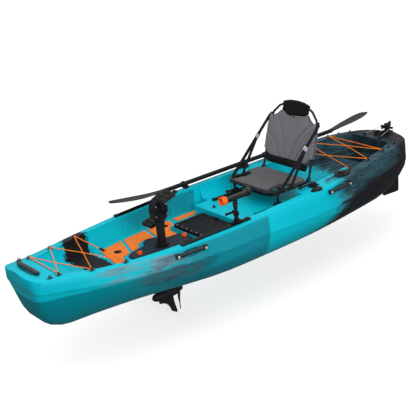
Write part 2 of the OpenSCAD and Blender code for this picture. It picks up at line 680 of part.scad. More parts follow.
plate_low = plate_z + join;
plate_top = plate_low + plate_t;
knob_front_s = drive_s + plate_nose * 0.74;
knob_rear_s = drive_s - plate_tail * 0.89;
knob_stem_r = 6;
knob_half = 14;
module drive_plate() {
    color(slate) difference() {
        translate([0, 0, plate_low]) linear_extrude(plate_t) plate_outline();
        for (s = [knob_front_s, knob_rear_s]) at(s, 0, 0) cylinder(h = 400, r = knob_stem_r + run_fit, $fn = fine);
        at(drive_s, 0, 0) linear_extrude(400) polygon(foil(strut_l + 2 * join, strut_w + 2 * join, foil_n));
    }
}
module twist_knob(s) {
    color(orange) at(s, 0, plate_top + join) {
        cylinder(h = 6, r = 15, $fn = fine);
        translate([-knob_half, -5, 6]) cube([2 * knob_half, 10, 13]);
        for (k = [-1, 1]) translate([k * knob_half, 0, 6]) cylinder(h = 13, r = 5, $fn = 24);
        translate([0, 0, -plate_t - join]) cylinder(h = plate_t + join + 1, r = knob_stem_r, $fn = fine);
    }
}
module front_knob() { twist_knob(knob_front_s); }
module rear_knob() { twist_knob(knob_rear_s); }

// An aerofoil outline about its middle, with its blunt end forward
foil_n = 10;
function foil_y(a, t) = t / 2 * sin(a) * (0.8 + 0.3 * cos(a));
function foil(l, t, n) = concat([for (i = [0 : n]) let (a = 180 * i / n) [l / 2 * cos(a), foil_y(a, t)]],
    [for (i = [n - 1 : -1 : 1]) let (a = 180 * i / n) [l / 2 * cos(a), -foil_y(a, t)]]);

gearbox_low = crank_z - gearbox_h / 2;
strut_l = 84;
strut_w = 34;
pod_r = 33;
pod_front = drive_s + 122;
pod_rear = drive_s - 70;
module drive_column() {
    color(black) {
        at(drive_s, 0, plate_top + join) cylinder(h = gearbox_low - plate_top + 8, r = column_r, $fn = fine);
        at(drive_s, 0, plate_top + join) cylinder(h = 16, r = column_r + 17, $fn = fine);
        at(drive_s, 0, gearbox_low - 20) cylinder(h = 20, r = column_r + 4, $fn = fine);
        at(drive_s, 0, -prop_drop + pod_r - 3) linear_extrude(plate_top + join + prop_drop - pod_r + 4)
            polygon(foil(strut_l, strut_w, foil_n));
    }
}
shell_w = gearbox_w / 2 - 12;
module gearbox_half() {
    difference() {
        rotate([-90, 0, 0]) translate([0, 0, join / 2]) {
            linear_extrude(shell_w) polygon([for (i = [0 : fine - 1]) let (a = 360 * i / fine)
                [gearbox_l / 2 * cos(a), gearbox_h / 2 * sin(a)]]);
            translate([0, 0, shell_w]) cylinder(h = 12 - join, r = gearbox_l / 2 - 12, $fn = fine);
            translate([0, gearbox_h / 2 - 28, shell_w]) cylinder(h = 6, r = 20, $fn = fine);
        }
        translate([0, -1, 0]) rotate([-90, 0, 0]) cylinder(h = gearbox_w, r = axle_r + run_fit, $fn = fine);
        translate([0, 0, -gearbox_h / 2 - 30]) cylinder(h = 38 + join, r = column_r + join, $fn = fine);
    }
}
module gearbox_port() { color(black) at(drive_s, 0, crank_z) gearbox_half(); }
module gearbox_starboard() { color(black) at(drive_s, 0, crank_z) mirror([0, 1, 0]) gearbox_half(); }
shell_screws = [[0, 62], [-38, 34], [38, 34], [-40, -30], [40, -30]];
module gearbox_screws() {
    color(steel) both_sides() for (p = shell_screws)
        across(drive_s + p[0], shell_w + join / 2 + join, crank_z + p[1], 2.4, 3.6);
}
module lower_unit() {
    color(black) difference() {
        at(pod_rear, 0, -prop_drop) rotate([0, 90, 0]) rotate_extrude($fn = fine) polygon(concat([[0, 0], [pod_r - 9, 0]],
            [for (a = [0 : 15 : 90]) [pod_r - 9 + 9 * sin(a), 30 - 30 * cos(a)]],
            [for (a = [0 : 10 : 90]) [pod_r * cos(a), pod_front - pod_rear - 74 + 74 * sin(a)]]));
        at(pod_rear - 1, 0, -prop_drop) rotate([0, 90, 0]) cylinder(h = 90, r = prop_shaft_r + run_fit, $fn = fine);
        at(drive_s, 0, -prop_drop + pod_r - 3 - join) linear_extrude(60) polygon(foil(strut_l + 2 * join, strut_w + 2 * join, foil_n));
    }
}
skeg_t = 8;
module skeg() {
    color(black) difference() {
        translate([0, skeg_t / 2, 0]) rotate([90, 0, 0]) linear_extrude(skeg_t) polygon(concat(
            [[x_of(drive_s + 74), -prop_drop - 10]],
            [for (a = [0 : 15 : 75]) [x_of(drive_s + 70 - 92 * sin(a)), -prop_drop - pod_r - 20 - (skeg_drop - prop_drop - pod_r - 20) * (1 - cos(a)) * 1.05]],
            [[x_of(drive_s - 46), -skeg_drop + 6], [x_of(drive_s - 56), -skeg_drop], [x_of(drive_s - 60), -skeg_drop + 12],
                [x_of(drive_s - 44), -prop_drop - 80], [x_of(drive_s - 36), -prop_drop - 10]]));
        at(pod_rear - 30, 0, -prop_drop) rotate([0, 90, 0]) cylinder(h = 260, r = pod_r + join, $fn = fine);
    }
}
prop_s = pod_rear - 17;
hub_r = 21;
hub_l = 32;
blade_rows = 7;
function blade_ring(v) =
    let (r = hub_r - 5 + (prop_r - hub_r + 5) * v, c = 27 * (0.45 + 0.75 * sin(165 * min(v, 0.97) ^ 0.8)) * (v > 0.9 ? 1 - 4 * (v - 0.9) : 1),
        pitch = 62 - 38 * v, t = 5.5 - 3 * v)
    [for (i = [0 : 11]) let (a = 30 * i, cx = c * cos(a), cy = t * sin(a))
        [cx * cos(pitch) - cy * sin(pitch), cx * sin(pitch) + cy * cos(pitch), r]];
module prop_blade() { rotate([0, 0, 90]) skin([for (i = [0 : blade_rows]) blade_ring(i / blade_rows)]); }
module propeller() {
    color(black) {
        at(prop_s + hub_l / 2, 0, -prop_drop) rotate([0, -90, 0]) rotate_extrude($fn = fine) polygon([[0, 0], [hub_r - 2, 0],
            [hub_r, 3], [hub_r, hub_l - 8], [hub_r - 5, hub_l + 6], [9, hub_l + 15], [0, hub_l + 16]]);
        at(prop_s, 0, -prop_drop) rotate([0, 90, 0]) cylinder(h = 86, r = prop_shaft_r, $fn = fine);
        for (k = [0, 180]) at(prop_s, 0, -prop_drop) rotate([k, 0, 0]) prop_blade();
    }
}

// The port crank points up, the starboard crank down
arm_y = gearbox_w / 2 + 5;
arm_t = 12;
pedal_y = arm_y + arm_t + 6;
function crank_x(k) = k * crank_l * sin(crank_lean);
function crank_dz(k) = k * crank_l * cos(crank_lean);
module crank_axle() {
    color(steel) {
        across(drive_s, -arm_y - arm_t - 3, crank_z, 2 * (arm_y + arm_t + 3), axle_r);
        both_sides() across(drive_s, arm_y + arm_t + join, crank_z, 6, axle_r + 4);
    }
}
module crank_arm(k) {
    at(drive_s, arm_y, crank_z) rotate([0, crank_lean + (k < 0 ? 180 : 0), 0]) difference() {
        union() {
            rotate([-90, 0, 0]) cylinder(r = 19, h = arm_t, $fn = fine);
            translate([0, 0, crank_l]) rotate([-90, 0, 0]) cylinder(r = 13, h = arm_t, $fn = fine);
            translate([-12, 0, 6]) cube([24, arm_t, crank_l - 10]);
        }
        translate([0, -1, 0]) rotate([-90, 0, 0]) cylinder(r = axle_r + run_fit, h = arm_t + 2, $fn = fine);
        translate([0, -1, crank_l]) rotate([-90, 0, 0])
            cylinder(r = pedal_pin_r + run_fit, h = arm_t + 2, $fn = fine);
    }
}
module crank_arms() {
    color(black) {
        crank_arm(1);
        mirror([0, 1, 0]) crank_arm(-1);
    }
}
module pedal_pin(k) {
    across(drive_s + crank_x(k), arm_y, crank_z + crank_dz(k), pedal_y + pedal_w - arm_y - 6, pedal_pin_r);
    across(drive_s + crank_x(k), arm_y + arm_t + join, crank_z + crank_dz(k), 4, pedal_pin_r + 4);
}
module pedal_pins() {
    color(steel) {
        pedal_pin(1);
        mirror([0, 1, 0]) pedal_pin(-1);
    }
}
pedal_h = 26;
pedal_tilt = 12;
module pedal(k) {
    translate([x_of(drive_s + crank_x(k)), pedal_y, crank_z + crank_dz(k)]) rotate([0, pedal_tilt, 0]) difference() {
        union() {
            translate([-pedal_l / 2, 0, -pedal_h / 2 + 4]) cube([pedal_l, pedal_w, pedal_h - 8]);
            translate([-pedal_l / 2 + 8, 0, -pedal_h / 2]) cube([pedal_l - 16, pedal_w, pedal_h]);
        }
        translate([0, -1, 0]) rotate([-90, 0, 0]) cylinder(h = pedal_w + 2, r = pedal_pin_r + run_fit, $fn = fine);
        for (x = [-34, -20, 12, 26]) translate([x, 10, -pedal_h]) cube([8, pedal_w - 20, 2 * pedal_h]);
    }
}
module pedal_port() { color(black) pedal(1); }
module pedal_starboard() { color(black) mirror([0, 1, 0]) pedal(-1); }

// ---------- seat ----------

pan_rear = pan_front - pan_l;
clamp_front = pan_front - 62;
clamp_rear = pan_rear + 78;
rail_rear = clamp_rear - seat_travel - 160;
rail_front = clamp_front + seat_travel + 140;
rail_w = 24;
rail_h = 13;
module seat_rails() {
    color(black) both_sides() at(rail_rear, rail_y, seat_deck_z + join) {
        translate([0, -rail_w / 2, 0]) cube([rail_front - rail_rear, rail_w, rail_h]);
        for (x = [0, rail_front - rail_rear - 16]) translate([x, -rail_w / 2, 0]) cube([16, rail_w, rail_h + 4]);
    }
}
frame_y = seat_w / 2 - tube_r;
pan_rear_z = pan_z - pan_drop;
corner = 46;
rail_top = seat_deck_z + join + rail_h;
clamp_h = 20;
foot_z = rail_top + 10;
function pan_at(s) = pan_z - pan_drop * (pan_front - s) / pan_l;
function p3(s, y, z) = [x_of(s), y, z];
module seat_base_frame() {
    color(black) {
        run(p3(pan_front, -frame_y + corner, pan_z), p3(pan_front, frame_y - corner, pan_z), tube_r);
        both_sides() {
            run(p3(pan_front, frame_y - corner, pan_z), p3(pan_front - corner, frame_y, pan_at(pan_front - corner)), tube_r - 0.3);
            for (p = [p3(pan_front, frame_y - corner, pan_z), p3(pan_front - corner, frame_y, pan_at(pan_front - corner))])
                knuckle(p, tube_r);
            run(p3(pan_front - corner, frame_y, pan_at(pan_front - corner)), p3(pan_rear + 34, frame_y, pan_at(pan_rear + 34)), tube_r);
            for (s = [clamp_front, clamp_rear]) run(p3(s, frame_y, pan_at(s)), p3(s, rail_y, foot_z), tube_r - 2);
            difference() {
                hinge_ear(frame_y - 9, 18);
                across(hinge_s, frame_y - 30, hinge_z, 60, pivot_r + run_fit);
                hinge_ear_gap();
            }
        }
        run(p3(pan_rear + 60, -frame_y, pan_at(pan_rear + 60)), p3(pan_rear + 60, frame_y, pan_at(pan_rear + 60)), tube_r - 3);
    }
}
hinge_s = pan_rear + 6;
hinge_z = pan_rear_z + 12;
pivot_r = 5;
back_tube_in = 10;
module hinge_ear(y, w) {
    across(hinge_s, y, hinge_z, w, 15);
    at(hinge_s, y, hinge_z - 15) cube([pan_rear + 40 - hinge_s, w, 15]);
}
module hinge_ear_gap() { across(hinge_s, frame_y - 6 - join, hinge_z, 12 + 2 * join, 17); }
module seat_clamps() {
    color(black) both_sides() for (s = [clamp_front, clamp_rear]) at(s - 22, rail_y - rail_w / 2 - 5, seat_deck_z + 4) difference() {
        cube([44, rail_w + 10, rail_top + join + clamp_h - seat_deck_z - 4]);
        translate([-1, 5 - join, -1]) cube([46, rail_w + 2 * join, rail_top + join - seat_deck_z - 3]);
        translate([22 - 14, -1, rail_top + 8 - seat_deck_z - 4]) cube([28, rail_w + 12, 40]);
    }
}
pan_t = 22;
pan_in = tube_r + join;
module seat_pan() {
    w = frame_y - pan_in;
    l = pan_l - 76 - pan_in;
    color(mesh_grey) translate([x_of(pan_rear + 76), 0, pan_at(pan_rear + 76) + 2]) rotate([0, -asin(pan_drop / pan_l), 0])
        translate([0, 0, -pan_t / 2]) linear_extrude(pan_t)
            polygon([[0, -w], [0, w], [l - corner, w], [l, w - corner], [l, corner - w], [l - corner, -w]]);
}

// The back lies in a plane that leans aft: u runs across, v up the slope from the hinge
module back_plane() { translate([x_of(hinge_s), 0, hinge_z]) rotate([0, -back_lean, 0]) children(); }
back_y = frame_y;
back_r = tube_r - 3.2;
arch_h = 150;
arch_z = back_l - arch_h - tube_r;
function arch_point(a) = [0, back_y * cos(a), arch_z + arch_h * sin(a)];
module seat_back_frame() {
    color(black) back_plane() {
        both_sides() difference() {
            union() {
                run([0, back_y, 0], [0, back_y, arch_z], back_r);
                translate([0, back_y - 6, 0]) rotate([-90, 0, 0]) cylinder(h = 12, r = 14, $fn = fine);
            }
            translate([0, back_y - 30, 0]) rotate([-90, 0, 0]) cylinder(h = 60, r = pivot_r + run_fit, $fn = fine);
            for (k = [-1, 1]) translate([-20, back_y + (k > 0 ? 6 : -46), -20]) cube([40, 40, 36]);
        }
        for (a = [0 : 22.5 : 157.5]) run(arch_point(a), arch_point(a + 22.5), back_r);
        for (a = [0 : 22.5 : 180]) knuckle(arch_point(a), back_r);
    }
}
module seat_pivot_bolts() {
    color(steel) both_sides() {
        across(hinge_s, frame_y - 12, hinge_z, 26, pivot_r);
        across(hinge_s, frame_y + 9 + join, hinge_z, 5, pivot_r + 3);
    }
}
panel_t = 20;
panel_low = 62;
panel_high = back_l - 90;
module seat_back_panel() {
    w = back_y - tube_r + 1;
    color(mesh_grey) back_plane() translate([panel_t / 2 + 3, 0, 0]) rotate([0, -90, 0]) linear_extrude(panel_t)
        polygon([[panel_low, -w + 22], [panel_low, w - 22], [panel_low + 60, w], [arch_z, w], [arch_z + 48, w - 44],
            [panel_high - 26, w - 70], [panel_high, 0], [panel_high - 26, 70 - w], [arch_z + 48, 44 - w], [arch_z, -w],
            [panel_low + 60, -w]]);
}
module seat_head_pad() {
    w = back_y - 78;
    color(black) back_plane() translate([panel_t / 2 + 3, 0, 0]) rotate([0, -90, 0]) linear_extrude(panel_t)
        polygon([[panel_high + join, -w + 14], [panel_high + join, w - 14], [arch_z + arch_h * 0.7, w - 16], [arch_z + arch_h - 14, 34],
            [arch_z + arch_h - 12, 0], [arch_z + arch_h - 14, -34], [arch_z + arch_h * 0.7, 16 - w]]);
}
strap_w = 26;
strap_t = 2.4;
// A flat strap on edge between two points
module band(a, b) {
    d = b - a;
    translate(a) rotate([0, acos(d[2] / norm(d)), atan2(d[1], d[0])]) translate([-strap_w / 2, -strap_t / 2, 0])
        cube([strap_w, strap_t, norm(d)]);
}
buckle_k = 0.36;
strap_gap = join + strap_t / 2;
module seat_straps() {
    top_v = arch_z + 34;
    top = [x_of(hinge_s) - top_v * sin(back_lean), back_y + back_r + strap_gap, hinge_z + top_v * cos(back_lean)];
    front = p3(pan_front - 72, frame_y + tube_r + strap_gap, pan_at(pan_front - 72) + 4);
    rear = p3(pan_front - 196, frame_y + tube_r + strap_gap, pan_at(pan_front - 196) + 4);
    mid = top + (front - top) * buckle_k;
    color(black) both_sides() {
        band(top, front);
        band(mid, rear);
    }
}
sling_rows = 3;
sling_w = 30;
sling_sag = 9;
// Straps that hang under the pan from side tube to side tube
module sling_straps() {
    color(black) for (i = [0 : sling_rows - 1]) let (s = pan_rear + 104 + i * 72, z = pan_at(s) - tube_r - join - 0.1)
        at(s, 0, z) rotate([90, 0, 90]) linear_extrude(sling_w) polygon([[-frame_y, 0], [-frame_y * 0.5, -sling_sag],
            [frame_y * 0.5, -sling_sag], [frame_y, 0], [frame_y, -strap_t], [frame_y * 0.5, -sling_sag - strap_t],
            [-frame_y * 0.5, -sling_sag - strap_t], [-frame_y, -strap_t]]);
}

// ---------- rudder ----------

stern_deck_z = edge_z(160) + crown(0) + 1;
bracket_t = 6;
bracket_l = 144;
post_top = stern_deck_z + bracket_t + 58;
blade_top = 88;
module rudder_bracket() {
    color(black) difference() {
        union() {
            at(post_s - 34, -34, stern_deck_z) cube([bracket_l, 68, bracket_t]);
            at(post_s, 0, stern_deck_z) cylinder(h = bracket_t + 22, r = post_r + 10, $fn = fine);
            for (k = [-1, 1]) at(post_s + 62, k * 26 - 4, stern_deck_z) cube([46, 8, 26]);
        }
        at(post_s, 0, stern_deck_z - 60) cylinder(h = 200, r = post_r + run_fit, $fn = fine);
    }
}
module rudder_post() {
    color(steel) at(post_s, 0, blade_top - 40) cylinder(h = post_top - blade_top + 40, r = post_r, $fn = fine);
}
module rudder_blade() {
    r = 16;
    color(black) difference() {
        union() {
            translate([0, blade_t / 2, 0]) rotate([90, 0, 0]) linear_extrude(blade_t) polygon(concat(
                [[x_of(post_s + blade_l * 0.33), blade_top - 16], [x_of(post_s + 20), blade_top], [x_of(post_s - 30), blade_top],
                    [x_of(post_s - blade_l * 0.67), blade_top - 60]],
                [for (a = [180 : 15 : 270]) [x_of(post_s - blade_l * 0.67 + r) + r * cos(a), -blade_drop + r + r * sin(a)]],
                [for (a = [270 : 15 : 360]) [x_of(post_s + blade_l * 0.3 - r) + r * cos(a), -blade_drop + r + 8 + r * sin(a)]]));
            at(post_s, 0, blade_top - 90) cylinder(h = 92, r = post_r + 7, $fn = fine);
        }
        at(post_s, 0, blade_top - 40) cylinder(h = 60, r = post_r + run_fit, $fn = fine);
    }
}
tiller_z = stern_deck_z + bracket_t + 22 + join;
tiller_arm = 46;
module rudder_tiller() {
    color(black) difference() {
        union() {
            at(post_s, 0, tiller_z) cylinder(h = 34, r = post_r + 12, $fn = fine);
            at(post_s - 12, -tiller_arm, tiller_z + 4) cube([24, 2 * tiller_arm, 9]);
            for (k = [-1, 1]) at(post_s, k * tiller_arm, tiller_z + 4) cylinder(h = 9, r = 12, $fn = fine);
            translate([0, 4, 0]) rotate([90, 0, 0]) linear_extrude(8) polygon([[x_of(post_s + 60), tiller_z + 6],
                [x_of(post_s + 60), tiller_z + 22], [x_of(post_s - 10), tiller_z + 36], [x_of(post_s - 34), tiller_z + 46],
                [x_of(post_s - 42), tiller_z + 46], [x_of(post_s - 42), tiller_z + 6]]);
        }
        at(post_s, 0, tiller_z - 5) cylinder(h = 100, r = post_r + run_fit, $fn = fine);
        for (k = [-1, 1]) at(post_s, k * tiller_arm, tiller_z - 5) cylinder(h = 60, r = 3, $fn = 24);
    }
}
cable_r = 1.6;
grommet_s = 226;
grommet_y = 72;
grommet_z = seat_z(grommet_s, grommet_y, 9, 9);
module cable_grommets() {
    color(black) both_sides() at(grommet_s, grommet_y, grommet_z) difference() {
        cylinder(h = 18, r = 9, $fn = fine);
        translate([-20, 0, 12]) rotate([0, 90, 0]) cylinder(h = 40, r = cable_r + 1, $fn = 24);
    }
}
module rudder_cables() {
    color(steel) both_sides()
        run(p3(grommet_s - 9 - join, grommet_y, grommet_z + 12), p3(post_s + 13, tiller_arm, tiller_z + 8.5), cable_r);
}
pod_s = 1150;
pod_y = 296;
pod_h = 16;
lever_l = 132;
function pod_z() = seat_z(pod_s, pod_y, 34, 20);
module steering_pod() {
    color(black) difference() {
        union() {
            at(pod_s, pod_y, pod_z()) cylinder(h = pod_h, r = 27, $fn = fine);
            at(pod_s - 34, pod_y - 20, pod_z()) cube([68, 40, 7]);
        }
        at(pod_s, pod_y, pod_z() - 1) cylinder(h = 60, r = 8 + run_fit, $fn = fine);
    }
}
module steering_lever() {
    color(black) at(pod_s, pod_y, pod_z()) {
        translate([0, 0, 0.2]) cylinder(h = pod_h + 6, r = 8, $fn = fine);
        translate([0, 0, pod_h + join]) cylinder(h = 8, r = 18, $fn = fine);
        translate([0, -8, pod_h + join]) cube([lever_l - 10, 16, 8]);
        translate([lever_l - 10, 0, pod_h + join]) cylinder(h = 14, r = 12, $fn = fine);
    }
}

// ---------- paddle ----------

paddle_front = 2290;
paddle_front_y = -404;
paddle_rear_y = -352;
paddle_z = 372;
paddle_rise = 12;
module along_paddle() {
    a = [x_of(paddle_front - paddle_l), paddle_rear_y, paddle_z + paddle_rise];
    b = [x_of(paddle_front), paddle_front_y, paddle_z];
    d = b - a;
    translate(a) rotate([0, -asin(d[2] / norm(d)), atan2(d[1], d[0])]) children();
}
function paddle_point(v) = let (a = [x_of(paddle_front - paddle_l), paddle_rear_y, paddle_z + paddle_rise],
    b = [x_of(paddle_front), paddle_front_y, paddle_z]) a + (b - a) * v / norm(b - a);
paddle_blade_l = 452;
module paddle_shaft() {
    color(black) along_paddle() translate([paddle_blade_l - 70, 0, 0]) rotate([0, 90, 0])
        cylinder(h = paddle_l - 2 * paddle_blade_l + 140, r = shaft_r, $fn = fine);
}
spoon = 46;
function blade_w(v) = paddle_blade_w / 2 * (v < 0.2 ? 0.17 + 0.9 * v * v / 0.04 * 0.35 : min(1, 0.485 + 0.62 * sin(150 * (v - 0.2)))) * round_end(1.002 - v, 0.3, 2.4);
function blade_section(v) = let (w = max(blade_w(v), 3), t = 3 + 13 * max(0, 1 - v / 0.34) , c = spoon * v * v)
    [for (i = [0 : 11]) let (a = 30 * i) [paddle_blade_l * v, w * cos(a), c + t * sin(a) + 6 * cos(a) * cos(a)]];
module blade_form() { skin([for (v = [0.02, 0.12, 0.22, 0.36, 0.52, 0.7, 0.84, 0.93, 0.975, 1]) blade_section(v)]); }
front_feather = 10;
rear_feather = 14;
module paddle_blades() {
    color(black) along_paddle() difference() {
        union() {
            translate([paddle_l - paddle_blade_l, 0, 0]) rotate([front_feather, 0, 0]) blade_form();
            translate([paddle_blade_l, 0, 0]) rotate([rear_feather, 0, 0]) mirror([1, 0, 0]) blade_form();
        }
        translate([paddle_blade_l - 70 - join, 0, 0]) rotate([0, 90, 0])
            cylinder(h = paddle_l - 2 * paddle_blade_l + 140 + 2 * join, r = shaft_r + join, $fn = fine);
    }
}
clip_stations = [side_deck_front - 330, track_rear - 112];
module paddle_clips() {
    color(black) for (s = clip_stations) let (v = s - paddle_front + paddle_l, p = paddle_point(v)) difference() {
        union() {
            translate([p[0] - 13, p[1], p[2]]) rotate([0, 90, 0]) cylinder(h = 26, r = shaft_r + 6, $fn = fine);
            translate([p[0] - 20, p[1], edge_z(s) + 7]) cube([40, 36, 8]);
            translate([p[0] - 13, p[1] + 4, edge_z(s) + 7]) cube([26, 22, 20]);
        }
        translate([p[0] - 30, p[1], p[2]]) rotate([0, 90, 0]) cylinder(h = 60, r = shaft_r + join, $fn = fine);
        translate([p[0] - 30, p[1] - 12, p[2]]) cube([60, 24, 60]);
        translate([p[0] - 40, -edge_y(s) - 80, edge_z(s) - 60]) cube([80, 66, 67]);
    }
}

// ---------- rod holder on the port track ----------

module on_track(extra) { along_track() translate([mount_s - track_rear, 0, track_h + join + extra]) children(); }
base_h = 14;
neck_r = 13;
bolt_r = 4;
module track_base() {
    color(black) on_track(0) difference() {
        union() {
            translate([-36, -track_w / 2, 0]) cube([72, track_w, base_h - 4]);
            cylinder(h = base_h, r = 21, $fn = fine);
            translate([-30, -slot_w / 2 + join, -track_h + 2 + join]) cube([60, slot_w - 2 * join, track_h]);
        }
        translate([0, 0, -2]) cylinder(h = 60, r = 8 + run_fit, $fn = fine);
    }
}
ear_w = 26;
module tilt_neck() {
    color(black) on_track(0) difference() {
        union() {
            translate([0, 0, base_h + join]) cylinder(h = 10, r = 19, $fn = fine);
            cylinder(h = base_h + join + 2, r = 8, $fn = fine);
            translate([0, 0, base_h + join]) cylinder(h = tilt_h - base_h - 14, r = neck_r, $fn = fine);
            translate([-13, -ear_w / 2, tilt_h - 18]) cube([26, ear_w, 18]);
            translate([0, -ear_w / 2, tilt_h]) rotate([-90, 0, 0]) cylinder(h = ear_w, r = 13, $fn = fine);
        }
        translate([-30, -6.3, tilt_h - 15]) cube([60, 12.6, 60]);
        translate([0, -40, tilt_h]) rotate([-90, 0, 0]) cylinder(h = 80, r = bolt_r + run_fit, $fn = fine);
    }
}
module holder_arm() {
    color(black) on_track(tilt_h) difference() {
        union() {
            translate([0, -6, 0]) rotate([-90, 0, 0]) cylinder(h = 12, r = 13, $fn = fine);
            translate([-9, -6, 0]) cube([18, 12, arm_l - 34]);
            translate([0, 0, 18]) cylinder(h = arm_l - 48, r1 = 11, r2 = 16, $fn = fine);
            translate([0, 0, arm_l - 30]) cylinder(h = 14, r = 16, $fn = fine);
            translate([0, 0, arm_l - 20]) cylinder(h = 14, r = 7, $fn = fine);
        }
        translate([0, -40, 0]) rotate([-90, 0, 0]) cylinder(h = 80, r = bolt_r + run_fit, $fn = fine);
    }
}
module tilt_lever() {
    color(black) on_track(tilt_h) {
        translate([0, -ear_w / 2 - 4, 0]) rotate([-90, 0, 0]) cylinder(h = ear_w + 8, r = bolt_r, $fn = fine);
        translate([0, -ear_w / 2 - 14, 0]) rotate([-90, 0, 0]) cylinder(h = 14 - join, r = 11, $fn = fine);
        translate([0, ear_w / 2 + join, 0]) rotate([-90, 0, 0]) cylinder(h = 5, r = 8, $fn = 24);
        translate([0, -ear_w / 2 - 12, -6]) cube([58, 8, 12]);
        translate([58, -ear_w / 2 - 4, 0]) rotate([90, 0, 0]) cylinder(h = 8, r = 9, $fn = fine);
    }
}
cradle_z = arm_l - 6 + cradle_r + 8;
cradle_wall = 4;
module cradle_axis() { on_track(tilt_h) translate([0, 0, cradle_z]) children(); }
module rod_cradle() {
    color(black) cradle_axis() difference() {
        union() {
            translate([-cradle_l / 2, 0, 0]) rotate([0, 90, 0]) cylinder(h = cradle_l - 34, r = cradle_r + cradle_wall, $fn = fine);
            translate([-cradle_l / 2 - 8, 0, 0]) rotate([0, 90, 0]) cylinder(h = 24, r = cradle_r + cradle_wall + 5, $fn = fine);
            translate([0, 0, -cradle_r - 8 + join]) cylinder(h = 14, r = 17, $fn = fine);
        }
        translate([-cradle_l, 0, 0]) rotate([0, 90, 0]) cylinder(h = 2 * cradle_l, r = cradle_r, $fn = fine);
        translate([-cradle_l / 2 + 40, -9, 0]) cube([cradle_l, 18, 60]);
        translate([0, 0, -cradle_r - 20]) cylinder(h = 18.5, r = 7 + run_fit, $fn = fine);
    }
}
module cradle_collar() {
    color(orange) cradle_axis() translate([cradle_l / 2 - 34 + join, 0, 0]) rotate([0, 90, 0]) difference() {
        cylinder(h = 34, r = cradle_r + cradle_wall + 4, $fn = fine);
        translate([0, 0, -1]) cylinder(h = 40, r = cradle_r, $fn = fine);
        translate([-60, -7, -1]) cube([60, 14, 40]);
    }
}

hull_shell();
deck_pads();
scupper_plugs();
gear_tracks();
track_end_fittings();
carry_handles();
handle_screws();
bow_handle();
pad_eyes();
front_bungee();
stern_bungee();
bungee_hook();
rod_holder_tubes();
tube_caps();
seat_rails();
rudder_bracket();
cable_grommets();
rudder_cables();
paddle_shaft();
paddle_blades();
paddle_clips();
hatch_coaming();
hatch_hinge_pin();
hatch_lid();
hatch_latch();
drive_plate();
front_knob();
rear_knob();
drive_column();
gearbox_port();
gearbox_starboard();
gearbox_screws();
lower_unit();
skeg();
propeller();
crank_axle();
crank_arms();
pedal_port();
pedal_starboard();
pedal_pins();
seat_base_frame();
seat_clamps();
seat_pan();
seat_back_frame();
seat_back_panel();
seat_head_pad();
seat_straps();
seat_pivot_bolts();
sling_straps();
rudder_post();
rudder_blade();
rudder_tiller();
steering_pod();
steering_lever();
track_base();
tilt_neck();
holder_arm();
tilt_lever();
rod_cradle();
cradle_collar();
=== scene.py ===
# %% [markdown]
# # Dressing a pedal-drive fishing kayak in Blender
# The solid model already fixes every size and every place, so this lesson is about looks: marbled plastic,
# foam, webbing, stretched cord and a padded mesh seat. The imported model comes in first and is never moved.
# Its box is kept, and the floor is laid just under it.

# %% Bring in the frame
import math

import bmesh
import bpy
from mathutils import Matrix, Vector
from mathutils.bvhtree import BVHTree


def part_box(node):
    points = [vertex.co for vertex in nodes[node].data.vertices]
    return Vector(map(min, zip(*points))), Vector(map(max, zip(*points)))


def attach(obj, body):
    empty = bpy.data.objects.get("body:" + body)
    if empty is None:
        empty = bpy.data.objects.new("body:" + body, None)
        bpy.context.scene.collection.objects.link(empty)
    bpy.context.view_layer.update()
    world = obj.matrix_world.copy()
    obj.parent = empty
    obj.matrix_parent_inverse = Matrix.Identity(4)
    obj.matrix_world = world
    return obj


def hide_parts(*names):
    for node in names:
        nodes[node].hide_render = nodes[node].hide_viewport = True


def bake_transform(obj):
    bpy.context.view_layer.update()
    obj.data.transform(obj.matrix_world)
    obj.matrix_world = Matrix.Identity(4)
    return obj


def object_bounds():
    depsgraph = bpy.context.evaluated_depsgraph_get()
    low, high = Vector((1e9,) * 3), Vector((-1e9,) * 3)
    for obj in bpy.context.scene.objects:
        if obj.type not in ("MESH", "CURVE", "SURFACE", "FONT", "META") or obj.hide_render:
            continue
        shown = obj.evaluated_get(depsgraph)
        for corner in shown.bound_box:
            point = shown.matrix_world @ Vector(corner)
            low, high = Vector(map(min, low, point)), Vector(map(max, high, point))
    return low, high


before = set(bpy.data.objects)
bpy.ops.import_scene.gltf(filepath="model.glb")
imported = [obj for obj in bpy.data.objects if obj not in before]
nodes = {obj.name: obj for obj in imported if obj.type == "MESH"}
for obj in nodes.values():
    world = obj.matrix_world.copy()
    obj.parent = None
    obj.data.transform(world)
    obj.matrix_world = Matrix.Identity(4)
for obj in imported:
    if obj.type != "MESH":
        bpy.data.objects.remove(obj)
STERN_TO_ORIGIN = 1.635
cad_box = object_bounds()

# %% [markdown]
# ## Camera
# A long lens well off the port bow looks down over the deck and makes the near bow only a little larger than
# the stern. We could aim a camera with a constraint, but writing its three axes keeps it simple and fixed:
# the view direction first, then the side axis, then a small roll about the view direction.

# %% Place the camera
def aim(place, yaw, pitch, roll):
    """Returns the matrix of a camera at place; the angles are in degrees."""
    yaw, pitch, roll = (math.radians(a) for a in (yaw, pitch, roll))
    ahead = Vector((math.cos(pitch) * math.cos(yaw), math.cos(pitch) * math.sin(yaw), math.sin(pitch)))
    side = ahead.cross(Vector((0, 0, 1))).normalized()
    up = side.cross(ahead)
    side2 = side * math.cos(roll) + up * math.sin(roll)
    up2 = up * math.cos(roll) - side * math.sin(roll)
    turn = Matrix((side2, up2, -ahead)).transposed().to_4x4()
    return Matrix.Translation(place) @ turn


